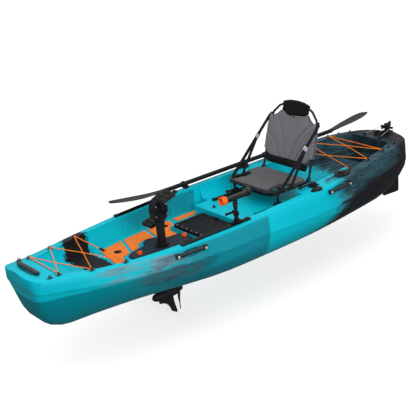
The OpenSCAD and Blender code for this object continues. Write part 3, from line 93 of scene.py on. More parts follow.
camera = bpy.data.objects.new("camera", bpy.data.cameras.new("camera"))
camera.data.lens = 82.56
camera.data.sensor_width = 36
camera.matrix_world = aim(Vector((3.683, 4.514, 2.640)), -127.81, -21.97, -5.25)
bpy.context.scene.collection.objects.link(camera)
bpy.context.scene.camera = camera
print("camera at", [round(v, 2) for v in camera.location])

# %% [markdown]
# ## Floor and light
# The kayak is shown as in a studio: a bright floor, a stronger soft light beside the camera and a weaker one
# overhead. Big lights make broad, soft highlights, which is what tells the eye that the plastic is satin.
# The floor lies just under the skeg, the lowest point of the whole kayak. It sends no light back up, and the
# sky is dimmer below the horizon, so the flanks of the hull turn darker downwards.

# %% Build the studio
def paint(name, colour, rough=0.5):
    m = bpy.data.materials.new(name)
    m.use_nodes = True
    shader = m.node_tree.nodes["Principled BSDF"]
    shader.inputs["Base Color"].default_value = (*colour, 1)
    shader.inputs["Roughness"].default_value = rough
    return m


low, high = Vector(cad_box[0]), Vector(cad_box[1])
bm = bmesh.new()
bmesh.ops.create_grid(bm, x_segments=2, y_segments=2, size=60)
bmesh.ops.translate(bm, verts=bm.verts, vec=(0, 0, low.z - 0.004))
floor_mesh = bpy.data.meshes.new("studio_floor")
bm.to_mesh(floor_mesh)
bm.free()
studio_floor = bpy.data.objects.new("studio_floor", floor_mesh)
floor_mesh.materials.append(paint("floor_paper", (0.5, 0.5, 0.5), 0.9))
glow = floor_mesh.materials[0].node_tree.nodes["Principled BSDF"].inputs
glow["Emission Color"].default_value, glow["Emission Strength"].default_value = (1, 1, 1, 1), 0.62
bpy.context.scene.collection.objects.link(studio_floor)
studio_floor.visible_diffuse = studio_floor.visible_glossy = False


def lamp(name, place, target, size, watts):
    data = bpy.data.lights.new(name, "AREA")
    data.shape = "RECTANGLE"
    data.size, data.size_y = size
    data.energy = watts
    obj = bpy.data.objects.new(name, data)
    obj.location = place
    obj.rotation_euler = (Vector(target) - Vector(place)).to_track_quat("-Z", "Y").to_euler()
    bpy.context.scene.collection.objects.link(obj)


lamp("overhead", (0.3, 0.5, 3.4), (0, 0, 0), (5.0, 3.0), 48)
lamp("beside_camera", (1.5, 5.0, 1.9), (0.1, 0, 0.2), (4.5, 2.0), 150)
sky = bpy.context.scene.world or bpy.data.worlds.new("sky")
bpy.context.scene.world = sky
sky.use_nodes = True
dome = sky.node_tree.nodes
split = dome.new("ShaderNodeSeparateXYZ")
fade = dome.new("ShaderNodeMapRange")
fade.inputs["From Min"].default_value, fade.inputs["From Max"].default_value = -0.25, 0.5
fade.inputs["To Min"].default_value, fade.inputs["To Max"].default_value = 0.16, 0.8
sky.node_tree.links.new(dome.new("ShaderNodeTexCoord").outputs["Generated"], split.inputs[0])
sky.node_tree.links.new(split.outputs[2], fade.inputs["Value"])
sky.node_tree.links.new(fade.outputs[0], dome["Background"].inputs["Strength"])
dome["Background"].inputs["Color"].default_value = (1, 1, 1, 1)
bpy.context.scene.view_settings.view_transform = "Standard"
print("floor at z", round(low.z - 0.004, 3))

# %% [markdown]
# ## A small kit of shader parts
# Every finish below is built from the same few node patterns: noise, a stepped ramp, a mix of two colours and
# a bump. Short helpers keep the finishes readable. All patterns run on Object coordinates, which equal
# real metres here, so a scale of 400 is a grain of about two millimetres.

# %% Shader helpers
class Finish:
    """A material whose nodes are added one call at a time."""

    def __init__(self, name, rough=0.5, metal=0.0, specular=0.5):
        self.material = bpy.data.materials.new(name)
        self.material.use_nodes = True
        self.tree = self.material.node_tree
        self.shader = self.tree.nodes["Principled BSDF"]
        self.shader.inputs["Roughness"].default_value = rough
        self.shader.inputs["Metallic"].default_value = metal
        self.shader.inputs["Specular IOR Level"].default_value = specular
        self.place = self.tree.nodes.new("ShaderNodeTexCoord").outputs["Object"]

    def put(self, socket, value):
        if isinstance(value, bpy.types.NodeSocket):
            self.tree.links.new(value, socket)
        elif isinstance(value, tuple) and len(value) == 3 and socket.type == "RGBA":
            socket.default_value = (*value, 1)
        else:
            socket.default_value = value

    def math(self, kind, a, b=0.0, clamp=False):
        n = self.tree.nodes.new("ShaderNodeMath")
        n.operation, n.use_clamp = kind, clamp
        self.put(n.inputs[0], a)
        self.put(n.inputs[1], b)
        return n.outputs[0]

    def axes(self, place=None):
        n = self.tree.nodes.new("ShaderNodeSeparateXYZ")
        self.put(n.inputs[0], place or self.place)
        return n.outputs[0], n.outputs[1], n.outputs[2]

    def scaled(self, scale, place=None, turn=(0, 0, 0)):
        n = self.tree.nodes.new("ShaderNodeMapping")
        self.put(n.inputs["Vector"], place or self.place)
        n.inputs["Scale"].default_value = scale
        n.inputs["Rotation"].default_value = turn
        return n.outputs[0]

    def noise(self, scale, detail=4.0, rough=0.5, twist=0.0, place=None):
        n = self.tree.nodes.new("ShaderNodeTexNoise")
        self.put(n.inputs["Vector"], place or self.place)
        n.inputs["Scale"].default_value = scale
        n.inputs["Detail"].default_value = detail
        n.inputs["Roughness"].default_value = rough
        n.inputs["Distortion"].default_value = twist
        return n.outputs[0]

    def step(self, value, start, end, low=0.0, high=1.0):
        """Goes smoothly from low at start to high at end; start may be the larger one."""
        n = self.tree.nodes.new("ShaderNodeMapRange")
        n.interpolation_type = "SMOOTHSTEP"
        if start > end:
            start, end, low, high = end, start, high, low
        for i, v in enumerate((value, start, end, low, high)):
            self.put(n.inputs[i], v)
        return n.outputs[0]

    def mix(self, share, a, b):
        n = self.tree.nodes.new("ShaderNodeMix")
        n.data_type = "RGBA"
        self.put(n.inputs[0], share)
        self.put(n.inputs[6], a)
        self.put(n.inputs[7], b)
        return n.outputs[2]

    def bump(self, height, depth, strength=1.0):
        n = self.tree.nodes.new("ShaderNodeBump")
        n.inputs["Strength"].default_value = strength
        n.inputs["Distance"].default_value = depth
        self.put(n.inputs["Height"], height)
        self.put(self.shader.inputs["Normal"], n.outputs[0])

    def set(self, name, value):
        self.put(self.shader.inputs[name], value)


print("shader kit ready")

# %% [markdown]
# ## The marbled hull
# The hull is moulded from coloured powder that is shaken in while the mould turns, so the colours run into
# each other: clear teal amidships, grey streaks on the bow quarter, a speckled grey zone on the side, and a
# stern that fades to black. An image could hold this, but masks made from the station along the hull, the
# height and a stretched noise give clouds that flow round every corner without a seam.

# %% Hull finish
def hull_finish():
    f = Finish("rotomoulded_marble", rough=0.42, specular=0.1)
    x, y, z = f.axes()
    s = f.math("ADD", x, STERN_TO_ORIGIN)
    side = f.math("ABSOLUTE", y)
    cloud = f.noise(5.5, 6, 0.6, 0.6, f.scaled((1.0, 2.2, 2.6)))
    wisp = f.noise(9.0, 8, 0.65, 1.6, f.scaled((0.8, 2.0, 3.4), turn=(0, 0.3, 0)))
    fleck = f.noise(260.0, 2, 0.6)
    speckle = f.noise(420.0, 2, 0.7)
    colour = f.mix(f.noise(3.0, 3), (0.0, 0.43, 0.54), (0.001, 0.5, 0.62))
    # the speckled zone on the side
    edge = f.math("ADD", s, f.math("MULTIPLY", z, 0.12))
    zone = f.math("MULTIPLY", f.step(edge, 1.695, 1.705), f.step(s, 2.75, 2.15))
    zone = f.math("MULTIPLY", zone, f.step(side, 0.30, 0.34))
    zone = f.math("MULTIPLY", zone, f.step(z, 0.345, 0.325))
    grains = f.step(speckle, 0.42, 0.6, 0.38, 0.92)
    colour = f.mix(f.math("MULTIPLY", zone, grains), colour, (0.008, 0.125, 0.17))
    # smoky streaks over the bow quarter, only outside the deck's edge
    rim = f.math("ADD", side, f.math("MULTIPLY", f.math("SUBTRACT", s, 2.4), 0.205))
    outside = f.step(rim, 0.363, 0.37)
    smoke = f.noise(6.5, 9, 0.68, 0.9, f.scaled((0.45, 1.2, 2.2), turn=(0, 0.16, 0)))
    soot = f.noise(9.0, 9, 0.7, 1.2, f.scaled((0.4, 1.4, 2.6), turn=(0, 0.3, 0)))
    grit = f.step(fleck, 0.34, 0.56, 0.25, 1.0)
    upper = f.math("MULTIPLY", f.step(s, 2.05, 2.3), f.step(s, 2.98, 2.72))
    upper = f.math("MULTIPLY", f.math("MULTIPLY", upper, outside), f.step(z, 0.24, 0.27))
    pale = f.math("MULTIPLY", f.math("MULTIPLY", upper, f.step(smoke, 0.39, 0.54)), grit)
    colour = f.mix(pale, colour, f.mix(f.step(soot, 0.45, 0.62), (0.17, 0.225, 0.265), (0.085, 0.062, 0.075)))
    lower = f.math("MULTIPLY", f.step(s, 2.08, 2.32), f.step(s, 2.84, 2.5))
    lower = f.math("MULTIPLY", f.math("MULTIPLY", lower, f.step(rim, 0.35, 0.36)), f.step(z, 0.275, 0.25))
    dark = f.math("MULTIPLY", f.math("MULTIPLY", lower, f.step(soot, 0.44, 0.58)), f.step(fleck, 0.32, 0.56, 0.3, 0.85))
    colour = f.mix(dark, colour, f.mix(f.step(smoke, 0.36, 0.54), (0.05, 0.055, 0.065), (0.13, 0.125, 0.14)))
    # a black patch across the bow well and its starboard rail
    along = f.math("DIVIDE", f.math("SUBTRACT", s, 2.665), 0.115)
    across = f.math("DIVIDE", f.math("ADD", y, 0.13), 0.25)
    reach = f.math("SQRT", f.math("ADD", f.math("MULTIPLY", along, along), f.math("MULTIPLY", across, across)))
    ragged = f.math("ADD", reach, f.math("MULTIPLY", f.noise(26.0, 5, 0.7, 0.8), 1.1))
    in_sight = f.math("MAXIMUM", f.step(z, 0.285, 0.325), f.step(rim, 0.36, 0.35))
    colour = f.mix(f.math("MULTIPLY", f.step(ragged, 1.62, 1.5), in_sight), colour, (0.009, 0.009, 0.011))
    # the dish under the bow grip is the same teal, deeper where little light falls into it
    dish_s = f.math("DIVIDE", f.math("SUBTRACT", s, 3.134), 0.038)
    dish_y = f.math("DIVIDE", y, 0.109)
    dish = f.math("SQRT", f.math("ADD", f.math("MULTIPLY", dish_s, dish_s), f.math("MULTIPLY", dish_y, dish_y)))
    in_dish = f.math("MULTIPLY", f.step(dish, 1.0, 0.6, 0.0, 0.75), f.step(z, 0.33, 0.34))
    colour = f.mix(in_dish, colour, (0.0, 0.13, 0.17))
    # the stern: slate marbling, then black
    wander = f.math("ADD", s, f.math("MULTIPLY", f.math("SUBTRACT", cloud, 0.5), 0.3))
    marble = f.mix(f.step(wisp, 0.4, 0.6), (0.012, 0.028, 0.04), (0.04, 0.12, 0.15))
    marble = f.mix(f.step(fleck, 0.42, 0.6), marble, (0.022, 0.052, 0.068))
    ragged_s = f.math("ADD", wander, f.math("MULTIPLY", f.math("SUBTRACT", wisp, 0.5), 0.2))
    ragged_s = f.math("ADD", ragged_s, f.math("MULTIPLY", f.math("SUBTRACT", fleck, 0.5), 0.34))
    in_well = f.step(side, 0.3, 0.25, 0.0, 0.25)
    colour = f.mix(f.step(f.math("ADD", ragged_s, in_well), 1.04, 0.93), colour, marble)
    lean = f.math("ADD", ragged_s, f.math("MULTIPLY", z, 2.6))
    under = f.math("MULTIPLY", f.step(lean, 1.5, 1.3), f.step(z, 0.275, 0.25))
    under = f.math("MULTIPLY", under, f.step(side, 0.05, 0.2))
    colour = f.mix(under, colour, (0.011, 0.012, 0.015))
    colour = f.mix(f.step(wander, 0.36, 0.16), colour, (0.010, 0.010, 0.012))
    # painted shade: below the knuckle the colour is darkened, most of all at the bow, where the flanks turn down away
    # from the light
    painted_shade_below_knuckle = f.math("MULTIPLY", f.step(z, 0.262, 0.235), f.step(s, 1.6, 2.8, 0.16, 0.52))
    bow_under = f.math("MULTIPLY", f.step(z, 0.247, 0.243), f.step(s, 2.615, 2.63))
    shell = f.math("MAXIMUM", f.math("MAXIMUM", f.step(rim, 0.35, 0.36), f.step(z, 0.17, 0.15)), bow_under)
    colour = f.mix(f.math("MULTIPLY", painted_shade_below_knuckle, shell), colour, (0.0, 0.02, 0.03))
    f.set("Base Color", colour)
    f.set("Roughness", f.step(f.noise(22.0, 5), 0.3, 0.7, 0.36, 0.5))
    f.bump(f.math("ADD", f.noise(700.0, 3), f.math("MULTIPLY", f.noise(45.0, 3), 2.0)), 0.0004)
    return f.material


marbled_hull = hull_finish()
print("hull finish:", len(marbled_hull.node_tree.nodes), "nodes")

# %% [markdown]
# ## Plain finishes
# The other materials are simpler, but none is one flat colour: moulded nylon has a fine grain and a little
# wear in its gloss, foam is pebbled, anodised rails are brushed along their length, and steel is polished.

# %% Moulded plastics, foam and metals
def moulded(name, colour, rough=0.45, grain=900.0, depth=0.0002, vary=0.35, specular=0.14):
    f = Finish(name, rough=rough, specular=specular)
    dusty = tuple(min(1.0, c * (1 + vary) + 0.006) for c in colour)
    f.set("Base Color", f.mix(f.step(f.noise(30.0, 6, 0.65), 0.3, 0.75), colour, dusty))
    f.set("Roughness", f.step(f.noise(55.0, 4), 0.3, 0.7, rough - 0.08, rough + 0.1))
    f.bump(f.noise(grain, 3), depth)
    return f.material


def foam(name, colour):
    f = Finish(name, rough=0.82, specular=0.3)
    pale = tuple(min(1.0, c * 1.12 + 0.01) for c in colour)
    f.set("Base Color", f.mix(f.noise(320.0, 3, 0.7), colour, pale))
    f.bump(f.math("ADD", f.noise(750.0, 3), f.noise(220.0, 2)), 0.0006)
    return f.material


def metal(name, colour, rough, brushed=(1, 1, 1), grain=250.0):
    f = Finish(name, rough=rough, metal=1.0)
    f.set("Base Color", f.mix(f.noise(40.0, 3), colour, tuple(c * 0.8 for c in colour)))
    f.set("Roughness", f.step(f.noise(grain, 3, place=f.scaled(brushed)), 0.3, 0.7, rough * 0.8, rough * 1.3))
    f.bump(f.noise(grain * 2, 2, place=f.scaled(brushed)), 0.00008)
    return f.material


nylon = moulded("black_nylon", (0.008, 0.008, 0.0095), 0.48)
gloss_black = moulded("gloss_black", (0.006, 0.006, 0.007), 0.2, depth=0.00008, specular=0.5)
rubber = moulded("black_rubber", (0.016, 0.016, 0.017), 0.68, grain=500.0, depth=0.0003)
orange_nylon = moulded("orange_nylon", (0.9, 0.13, 0.012), 0.4, vary=0.05)
navy_nylon = moulded("navy_nylon", (0.016, 0.026, 0.042), 0.5, vary=0.25)
carbon_black = moulded("paddle_black", (0.006, 0.006, 0.007), 0.42)
satin_black = moulded("satin_black", (0.0055, 0.0055, 0.0065), 0.5, specular=0.08)
pad_foam = foam("orange_foam", (0.9, 0.19, 0.018))
anodised = metal("black_anodised", (0.03, 0.03, 0.033), 0.36, (4, 90, 90))
bright_zinc = moulded("bright_zinc", (0.5, 0.5, 0.52), 0.3, vary=0.1, specular=0.8)
strap_silver = moulded("silver_buckle", (0.42, 0.42, 0.44), 0.3, vary=0.1, specular=0.6)
polished_steel = metal("polished_steel", (0.75, 0.76, 0.78), 0.16)
painted_tube = moulded("painted_tube", (0.012, 0.012, 0.013), 0.3, depth=0.0001)
print("plain finishes ready")

# %% Give every solid its finish
wears = {
    nylon: "scupper_plugs track_end_fittings pad_eyes bungee_hook rod_holder_tubes tube_caps rudder_bracket "
    "cable_grommets paddle_clips drive_column gearbox_port gearbox_starboard "
    "lower_unit skeg propeller crank_arms seat_clamps rudder_blade rudder_tiller steering_pod steering_lever "
    "tilt_neck tilt_lever rudder_post",
    satin_black: "hatch_coaming hatch_lid hatch_latch",
    anodised: "gear_tracks seat_rails track_base crank_axle",
    bright_zinc: "handle_screws gearbox_screws",
    polished_steel: "hatch_hinge_pin pedal_pins seat_pivot_bolts rudder_cables",
    gloss_black: "bow_handle carry_handles rod_cradle",
    rubber: "pedal_port pedal_starboard holder_arm",
    orange_nylon: "front_knob rear_knob cradle_collar front_bungee stern_bungee",
    navy_nylon: "drive_plate",
    pad_foam: "deck_pads",
    carbon_black: "paddle_shaft paddle_blades",
    painted_tube: "seat_base_frame seat_back_frame seat_straps sling_straps seat_head_pad",
    marbled_hull: "hull_shell",
}
for finish, names in wears.items():
    for name in names.split():
        nodes[name].data.materials.clear()
        nodes[name].data.materials.append(finish)
print("dressed:", sum(len(v.split()) for v in wears.values()), "of", len(nodes))

# %% [markdown]
# ## Where the seat lies
# The seat back is a flat frame that leans aft, so everything on it is easiest to draw flat: u runs to port,
# v runs up the slope from the hinge, and n points out of the slope towards the bow. One matrix then puts the
# finished piece in place. The pan gets a matrix of its own in the same way, with u to port and v to the bow.

# %% Planes of the seat
def station(s):
    """The x of a station: metres forward of the stern tip."""
    return s - STERN_TO_ORIGIN


LEAN = math.radians(17)
HINGE = Vector((station(1.116), 0, 0.368))
TUBE_Y, TUBE_R, BACK_TUBE_R = 0.221, 0.011, 0.0078
PAN_REAR = 1.110


def plane(origin, u, v, n):
    turn = Matrix((u, v, n)).transposed().to_4x4()
    return Matrix.Translation(origin) @ turn


back_plane = plane(HINGE, Vector((0, 1, 0)), Vector((-math.sin(LEAN), 0, math.cos(LEAN))),
                   Vector((math.cos(LEAN), 0, math.sin(LEAN))))
PAN_TILT = math.atan2(0.018, 0.352)
pan_plane = plane(Vector((station(PAN_REAR), 0, 0.356)), Vector((0, 1, 0)),
                  Vector((math.cos(PAN_TILT), 0, math.sin(PAN_TILT))),
                  Vector((-math.sin(PAN_TILT), 0, math.cos(PAN_TILT))))
print("hinge at", tuple(round(v, 3) for v in HINGE))

# %% Helpers that turn a bmesh into a finished piece
def piece(bm, name, finish, body=None, smooth=True):
    mesh = bpy.data.meshes.new(name)
    bm.to_mesh(mesh)
    bm.free()
    for p in mesh.polygons:
        p.use_smooth = smooth
    obj = bpy.data.objects.new(name, mesh)
    bpy.context.scene.collection.objects.link(obj)
    mesh.materials.append(finish)
    if body:
        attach(obj, body)
    return obj


def apply_modifiers(obj):
    """Bakes the modifiers into the mesh."""
    shape = obj.evaluated_get(bpy.context.evaluated_depsgraph_get())
    mesh = bpy.data.meshes.new_from_object(shape)
    old, obj.data = obj.data, mesh
    obj.modifiers.clear()
    bpy.data.meshes.remove(old)


def smooth_curve(points, steps=12):
    """A Catmull-Rom curve through the points."""
    p = [Vector(q) for q in points]
    p = [p[0] * 2 - p[1]] + p + [p[-1] * 2 - p[-2]]
    line = []
    for i in range(1, len(p) - 2):
        for k in range(steps):
            t = k / steps
            a, b, c, d = p[i - 1], p[i], p[i + 1], p[i + 2]
            line.append(0.5 * (2 * b + (c - a) * t + (2 * a - 5 * b + 4 * c - d) * t * t
                               + (3 * b - a - 3 * c + d) * t ** 3))
    return line + [p[-2]]


# %% [markdown]
# ## Cords and tubes
# A cord could be a curve object with a bevel, but a mesh tube gives us a UV map that follows the cord, so its
# braid runs round it at every bend. The ring is made once with create_circle and carried along the path by
# extruding and turning it, which is exactly how one would do it by hand.

# %% A tube along a path
def tube(path, radius, name, finish, body=None, sides=12):
    """Carries a ring along path and closes both ends."""
    path = [Vector(p) for p in path]
    bm = bmesh.new()
    uv = bm.loops.layers.uv.new("UVMap")
    ring = bmesh.ops.create_circle(bm, segments=sides, radius=radius, cap_ends=False)["verts"]
    edges = list({e for v in ring for e in v.link_edges})
    ahead = (path[1] - path[0]).normalized()
    turn = ahead.to_track_quat("Z", "Y")
    bmesh.ops.rotate(bm, verts=ring, cent=(0, 0, 0), matrix=turn.to_matrix())
    bmesh.ops.translate(bm, verts=ring, vec=path[0])
    start_edges, travelled = edges, 0.0
    for i in range(1, len(path)):
        made = bmesh.ops.extrude_edge_only(bm, edges=edges)["geom"]
        ring = [g for g in made if isinstance(g, bmesh.types.BMVert)]
        edges = [g for g in made if isinstance(g, bmesh.types.BMEdge) and all(v in ring for v in g.verts)]
        step = path[i] - path[i - 1]
        bmesh.ops.translate(bm, verts=ring, vec=step)
        after = (path[min(i + 1, len(path) - 1)] - path[i - 1]).normalized()
        swing = ahead.rotation_difference(after)
        bmesh.ops.rotate(bm, verts=ring, cent=path[i], matrix=swing.to_matrix())
        ahead = after
        faces = {f for e in edges for f in e.link_faces}
        for f in faces:
            for loop in f.loops:
                k = (loop.vert.co - path[i]).dot(after) > -step.length / 2
                loop[uv].uv = (0.0, travelled + (step.length if k else 0.0))
        travelled += step.length
    bmesh.ops.contextual_create(bm, geom=start_edges)
    bmesh.ops.contextual_create(bm, geom=edges)
    bmesh.ops.recalc_face_normals(bm, faces=bm.faces)
    return piece(bm, name, finish, body)


def length_of(path):
    return sum((Vector(b) - Vector(a)).length for a, b in zip(path, path[1:]))


# %% [markdown]
# ## Shock cord
# The deck lacing is braided shock cord: a rubber core in an orange polyester sleeve with darker flecks. It is
# stretched between the pad eyes, so each run is almost straight; where two runs cross, one rides over the
# other, and each gives way by a little more than its radius. Each lacing is one cord, so we can follow
# it from eye to eye and know its real length.

# %% Braided sleeve finish
def braid_finish(name, colour, fleck, pitch=0.006):
    f = Finish(name, rough=0.85, specular=0.08)
    x, y, z = f.axes()
    along = f.math("MULTIPLY", f.math("ADD", x, f.math("MULTIPLY", y, 0.7)), math.tau / pitch)
    round_it = f.math("MULTIPLY", f.math("SUBTRACT", z, f.math("MULTIPLY", y, 0.7)), math.tau / pitch * 2)
    left = f.math("SINE", f.math("ADD", along, round_it))
    right = f.math("SINE", f.math("SUBTRACT", along, round_it))
    plait = f.math("MAXIMUM", left, right)
    worn = f.mix(f.step(f.noise(900.0, 2), 0.62, 0.7), colour, fleck)
    f.set("Base Color", f.mix(f.step(plait, -0.2, 0.5), tuple(c * 0.75 for c in colour), worn))
    f.bump(plait, 0.0003)
    return f.material


orange_braid = braid_finish("orange_shock_cord", (1.0, 0.235, 0.02), (0.7, 0.1, 0.015))

CORD_R = 0.003


# %% [markdown]
# ## Mesh fabric
# The seat is covered in a grey spacer mesh. Its threads cross every couple of millimetres and leave dark
# holes; up close the holes read as a grid, from afar as a soft heather grey. Two sine waves along the thread
# directions make the holes and the bump at once.

# %% Fabric finishes
def mesh_fabric(name, thread, hole, pitch=0.0028, sheen=0.2):
    f = Finish(name, rough=0.85, specular=0.15)
    x, y, z = f.axes()
    warp = f.math("SINE", f.math("MULTIPLY", y, math.tau / pitch))
    rise = f.math("ADD", f.math("MULTIPLY", x, 0.8), z)
    weft = f.math("SINE", f.math("MULTIPLY", rise, math.tau / pitch))
    grid = f.math("MULTIPLY", warp, weft)
    heather = f.mix(f.step(f.noise(500.0, 3, 0.7), 0.35, 0.65), thread, tuple(c * 0.72 for c in thread))
    f.set("Base Color", f.mix(f.step(grid, 0.55, 0.85), heather, hole))
    f.set("Sheen Weight", sheen)
    f.set("Sheen Roughness", 0.5)
    f.bump(f.math("SUBTRACT", f.math("MULTIPLY", f.noise(60.0, 3), 0.8), grid), 0.0005)
    return f.material


def webbing(name, colour):
    f = Finish(name, rough=0.75, specular=0.2)
    x, y, z = f.axes()
    rows = f.math("SINE", f.math("MULTIPLY", f.math("ADD", z, f.math("MULTIPLY", x, 0.6)), math.tau / 0.0024))
    f.set("Base Color", f.mix(f.step(rows, -0.6, 0.6), tuple(c * 0.5 for c in colour), colour))
    f.bump(f.math("ADD", rows, f.noise(800.0, 2)), 0.0004)
    return f.material


grey_mesh = mesh_fabric("grey_mesh", (0.21, 0.21, 0.235), (0.03, 0.03, 0.034))
pan_mesh = mesh_fabric("dark_grey_mesh", (0.085, 0.085, 0.095), (0.015, 0.015, 0.017))
black_mesh = mesh_fabric("black_fabric", (0.009, 0.009, 0.01), (0.003, 0.003, 0.0035), 0.0022, 0.0)
strap_web = webbing("black_webbing", (0.014, 0.014, 0.0155))
# painted shade: a dark tube laid in each seam's channel stands for the shade in the groove
seam_groove_shade = moulded("seam_groove_shade", (0.05, 0.05, 0.055), 0.8)

# %% [markdown]
# ## Padded panels
# A padded panel starts flat: its outline is filled and thickened, remeshed into even cells, and blown up a
# little with Blender's cloth solver, as foam between two skins would be. The seams come after that: every
# point near a seam line is drawn back towards the middle of the panel, which gives the sewn channels.

# %% Make a padded panel
def settle(obj, pressure=4.0, cap=0.006, frames=20):
    """Swells obj with the cloth solver. Tape holds its outline, so points move only up or down, by cap at most."""
    start = [v.co.copy() for v in obj.data.vertices]
    cloth = obj.modifiers.new("swell", "CLOTH")
    cloth.settings.use_pressure = True
    cloth.settings.uniform_pressure_force = pressure
    cloth.settings.effector_weights.gravity = 0
    cloth.settings.tension_stiffness = 25
    cloth.settings.bending_stiffness = 2
    cloth.point_cache.frame_end = frames
    for frame_number in range(1, frames + 1):
        bpy.context.scene.frame_set(frame_number)
    apply_modifiers(obj)
    for v, old in zip(obj.data.vertices, start):
        v.co = (old.x, old.y, old.z + max(-cap, min(cap, v.co.z - old.z)))
    bpy.context.scene.frame_set(1)


def near(point, line):
    """Distance in the flat from point to a list of (u, v) points."""
    best = 1.0
    for a, b in zip(line, line[1:]):
        ax, ay, bx, by = a[0], a[1], b[0], b[1]
        dx, dy = bx - ax, by - ay
        t = max(0.0, min(1.0, ((point.x - ax) * dx + (point.y - ay) * dy) / (dx * dx + dy * dy)))
        best = min(best, math.hypot(point.x - ax - dx * t, point.y - ay - dy * t))
    return best


def padded_panel(name, outline, thick, finish, place, body, seams=(), sag=None, swell=0.005, voxel=0.005,
                 channel=0.004):
    bm = bmesh.new()
    corners = [bm.verts.new((u, v, -thick / 2)) for u, v in outline]
    face = bmesh.ops.contextual_create(bm, geom=corners)["faces"]
    up = bmesh.ops.extrude_face_region(bm, geom=face)["geom"]
    bmesh.ops.translate(bm, verts=[g for g in up if isinstance(g, bmesh.types.BMVert)], vec=(0, 0, thick))
    bmesh.ops.recalc_face_normals(bm, faces=bm.faces)
    obj = piece(bm, name, finish)
    remesh = obj.modifiers.new("cells", "REMESH")
    remesh.mode, remesh.voxel_size = "VOXEL", voxel
    apply_modifiers(obj)
    settle(obj, cap=swell)
    for v in obj.data.vertices:
        for line in seams:
            d = near(v.co, line)
            v.co.z -= math.copysign(channel * math.exp(-((d / 0.0055) ** 2)), v.co.z)
        if sag:
            v.co.z += sag(v.co.x, v.co.y)
    obj.data.transform(place)
    obj.data.materials.clear()
    obj.data.materials.append(finish)
    soften = obj.modifiers.new("soften", "SUBSURF")
    soften.levels = soften.render_levels = 1
    apply_modifiers(obj)
    for p in obj.data.polygons:
        p.use_smooth = True
    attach(obj, body)
    print(name, len(obj.data.vertices), "points")
    return obj


def mirrored(right_side):
    """An outline drawn from the bottom middle up the port side, closed by its mirror image."""
    return right_side + [(-u, v) for u, v in reversed(right_side) if u > 1e-6]


# %% [markdown]
# ## The seat back
# The sling wraps over the side tubes and stops under the hand openings; four seams fan out from the bottom
# middle. Its centre lies further back than its edges, because a sling hangs between its tubes.

# %% Seat back sling, lumbar roll and head pad
fan_low = [[(-0.076, 0.097), (-0.112, 0.158), (-0.151, 0.207), (-0.19, 0.238), (-0.240, 0.262)],
           [(0.062, 0.097), (0.09, 0.155), (0.122, 0.198), (0.16, 0.232), (0.240, 0.262)]]
fan_high = [[(-0.031, 0.096), (-0.056, 0.18), (-0.086, 0.256), (-0.12, 0.322), (-0.156, 0.385)],
            [(0.017, 0.098), (0.034, 0.18), (0.064, 0.252), (0.115, 0.315), (0.189, 0.372)]]
back_seams = fan_low + fan_high


def back_sag(u, v):
    wrap = max(0.0, abs(u) - 0.205) / 0.03
    return 0.013 - 0.018 * (1 - min(1.0, abs(u) / 0.221) ** 2) - 0.012 * wrap * wrap


back_outline = mirrored([(0.0, 0.093), (0.168, 0.093), (0.206, 0.112), (0.210, 0.128), (0.236, 0.140), (0.238, 0.2),
                         (0.238, 0.27), (0.232, 0.33), (0.220, 0.378), (0.192, 0.374), (0.170, 0.383), (0.148, 0.400),
                         (0.120, 0.424), (0.08, 0.404), (0.04, 0.394), (0.0, 0.391)])
seat_back_sling = padded_panel("seat_back_sling", back_outline, 0.010, grey_mesh, back_plane, "seat_back",
                               back_seams, back_sag, swell=0.005)
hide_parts("seat_back_panel")

lumbar_outline = mirrored([(0.0, 0.046), (0.176, 0.046), (0.186, 0.054), (0.188, 0.085), (0.178, 0.094), (0.0, 0.094)])
lumbar_roll = padded_panel("lumbar_roll", lumbar_outline, 0.020, black_mesh, back_plane, "seat_back",
                           sag=lambda u, v: 0.012 - 0.016 * (1 - min(1.0, abs(u) / 0.221) ** 2), swell=0.007)

head_outline = mirrored([(0.0, 0.392), (0.04, 0.395), (0.08, 0.405), (0.121, 0.425), (0.118, 0.44), (0.118, 0.462),
                         (0.124, 0.478), (0.108, 0.487), (0.06, 0.498), (0.0, 0.501)])
head_pad = padded_panel("head_pad", head_outline, 0.020, black_mesh, back_plane, "seat_back",
                        seams=[[(0.086 * k, 0.40), (0.082 * k, 0.45), (0.086 * k, 0.5)] for k in (-1, 1)],
                        sag=lambda u, v: 0.001, swell=0.006)
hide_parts("seat_head_pad")

# %% [markdown]
# ## The seat pan
# The pan sling is cut away at its front corners, where the fittings of the frame show, and its seams fan out
# from the rear. It lies on the tubes and sags a little between them.

# %% Seat pan sling
def pan_line(points):
    return [(y, s - PAN_REAR) for s, y in points]


pan_seams = []
for k in (-1, 1):
    pan_seams.append(pan_line([(1.135, 0.03 * k), (1.20, 0.048 * k), (1.28, 0.078 * k), (1.35, 0.115 * k),
                               (1.43, 0.157 * k)]))
    pan_seams.append(pan_line([(1.13, 0.085 * k), (1.165, 0.125 * k), (1.195, 0.165 * k), (1.225, 0.225 * k)]))


def pan_sag(u, v):
    across = 1 - min(1.0, abs(u) / 0.221) ** 2
    return 0.011 - 0.014 * across * math.sin(math.pi * min(1.0, max(0.0, v / 0.36))) ** 0.6


pan_outline = mirrored([(0.0, 0.012), (0.17, 0.012), (0.205, 0.03), (0.226, 0.06), (0.228, 0.152), (0.214, 0.158),
                        (0.178, 0.170), (0.158, 0.196), (0.155, 0.25), (0.163, 0.30), (0.170, 0.352), (0.0, 0.362)])
seat_pan_sling = padded_panel("seat_pan_sling", pan_outline, 0.011, pan_mesh, pan_plane, "seat_base",
                              pan_seams, pan_sag, swell=0.006)
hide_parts("seat_pan")
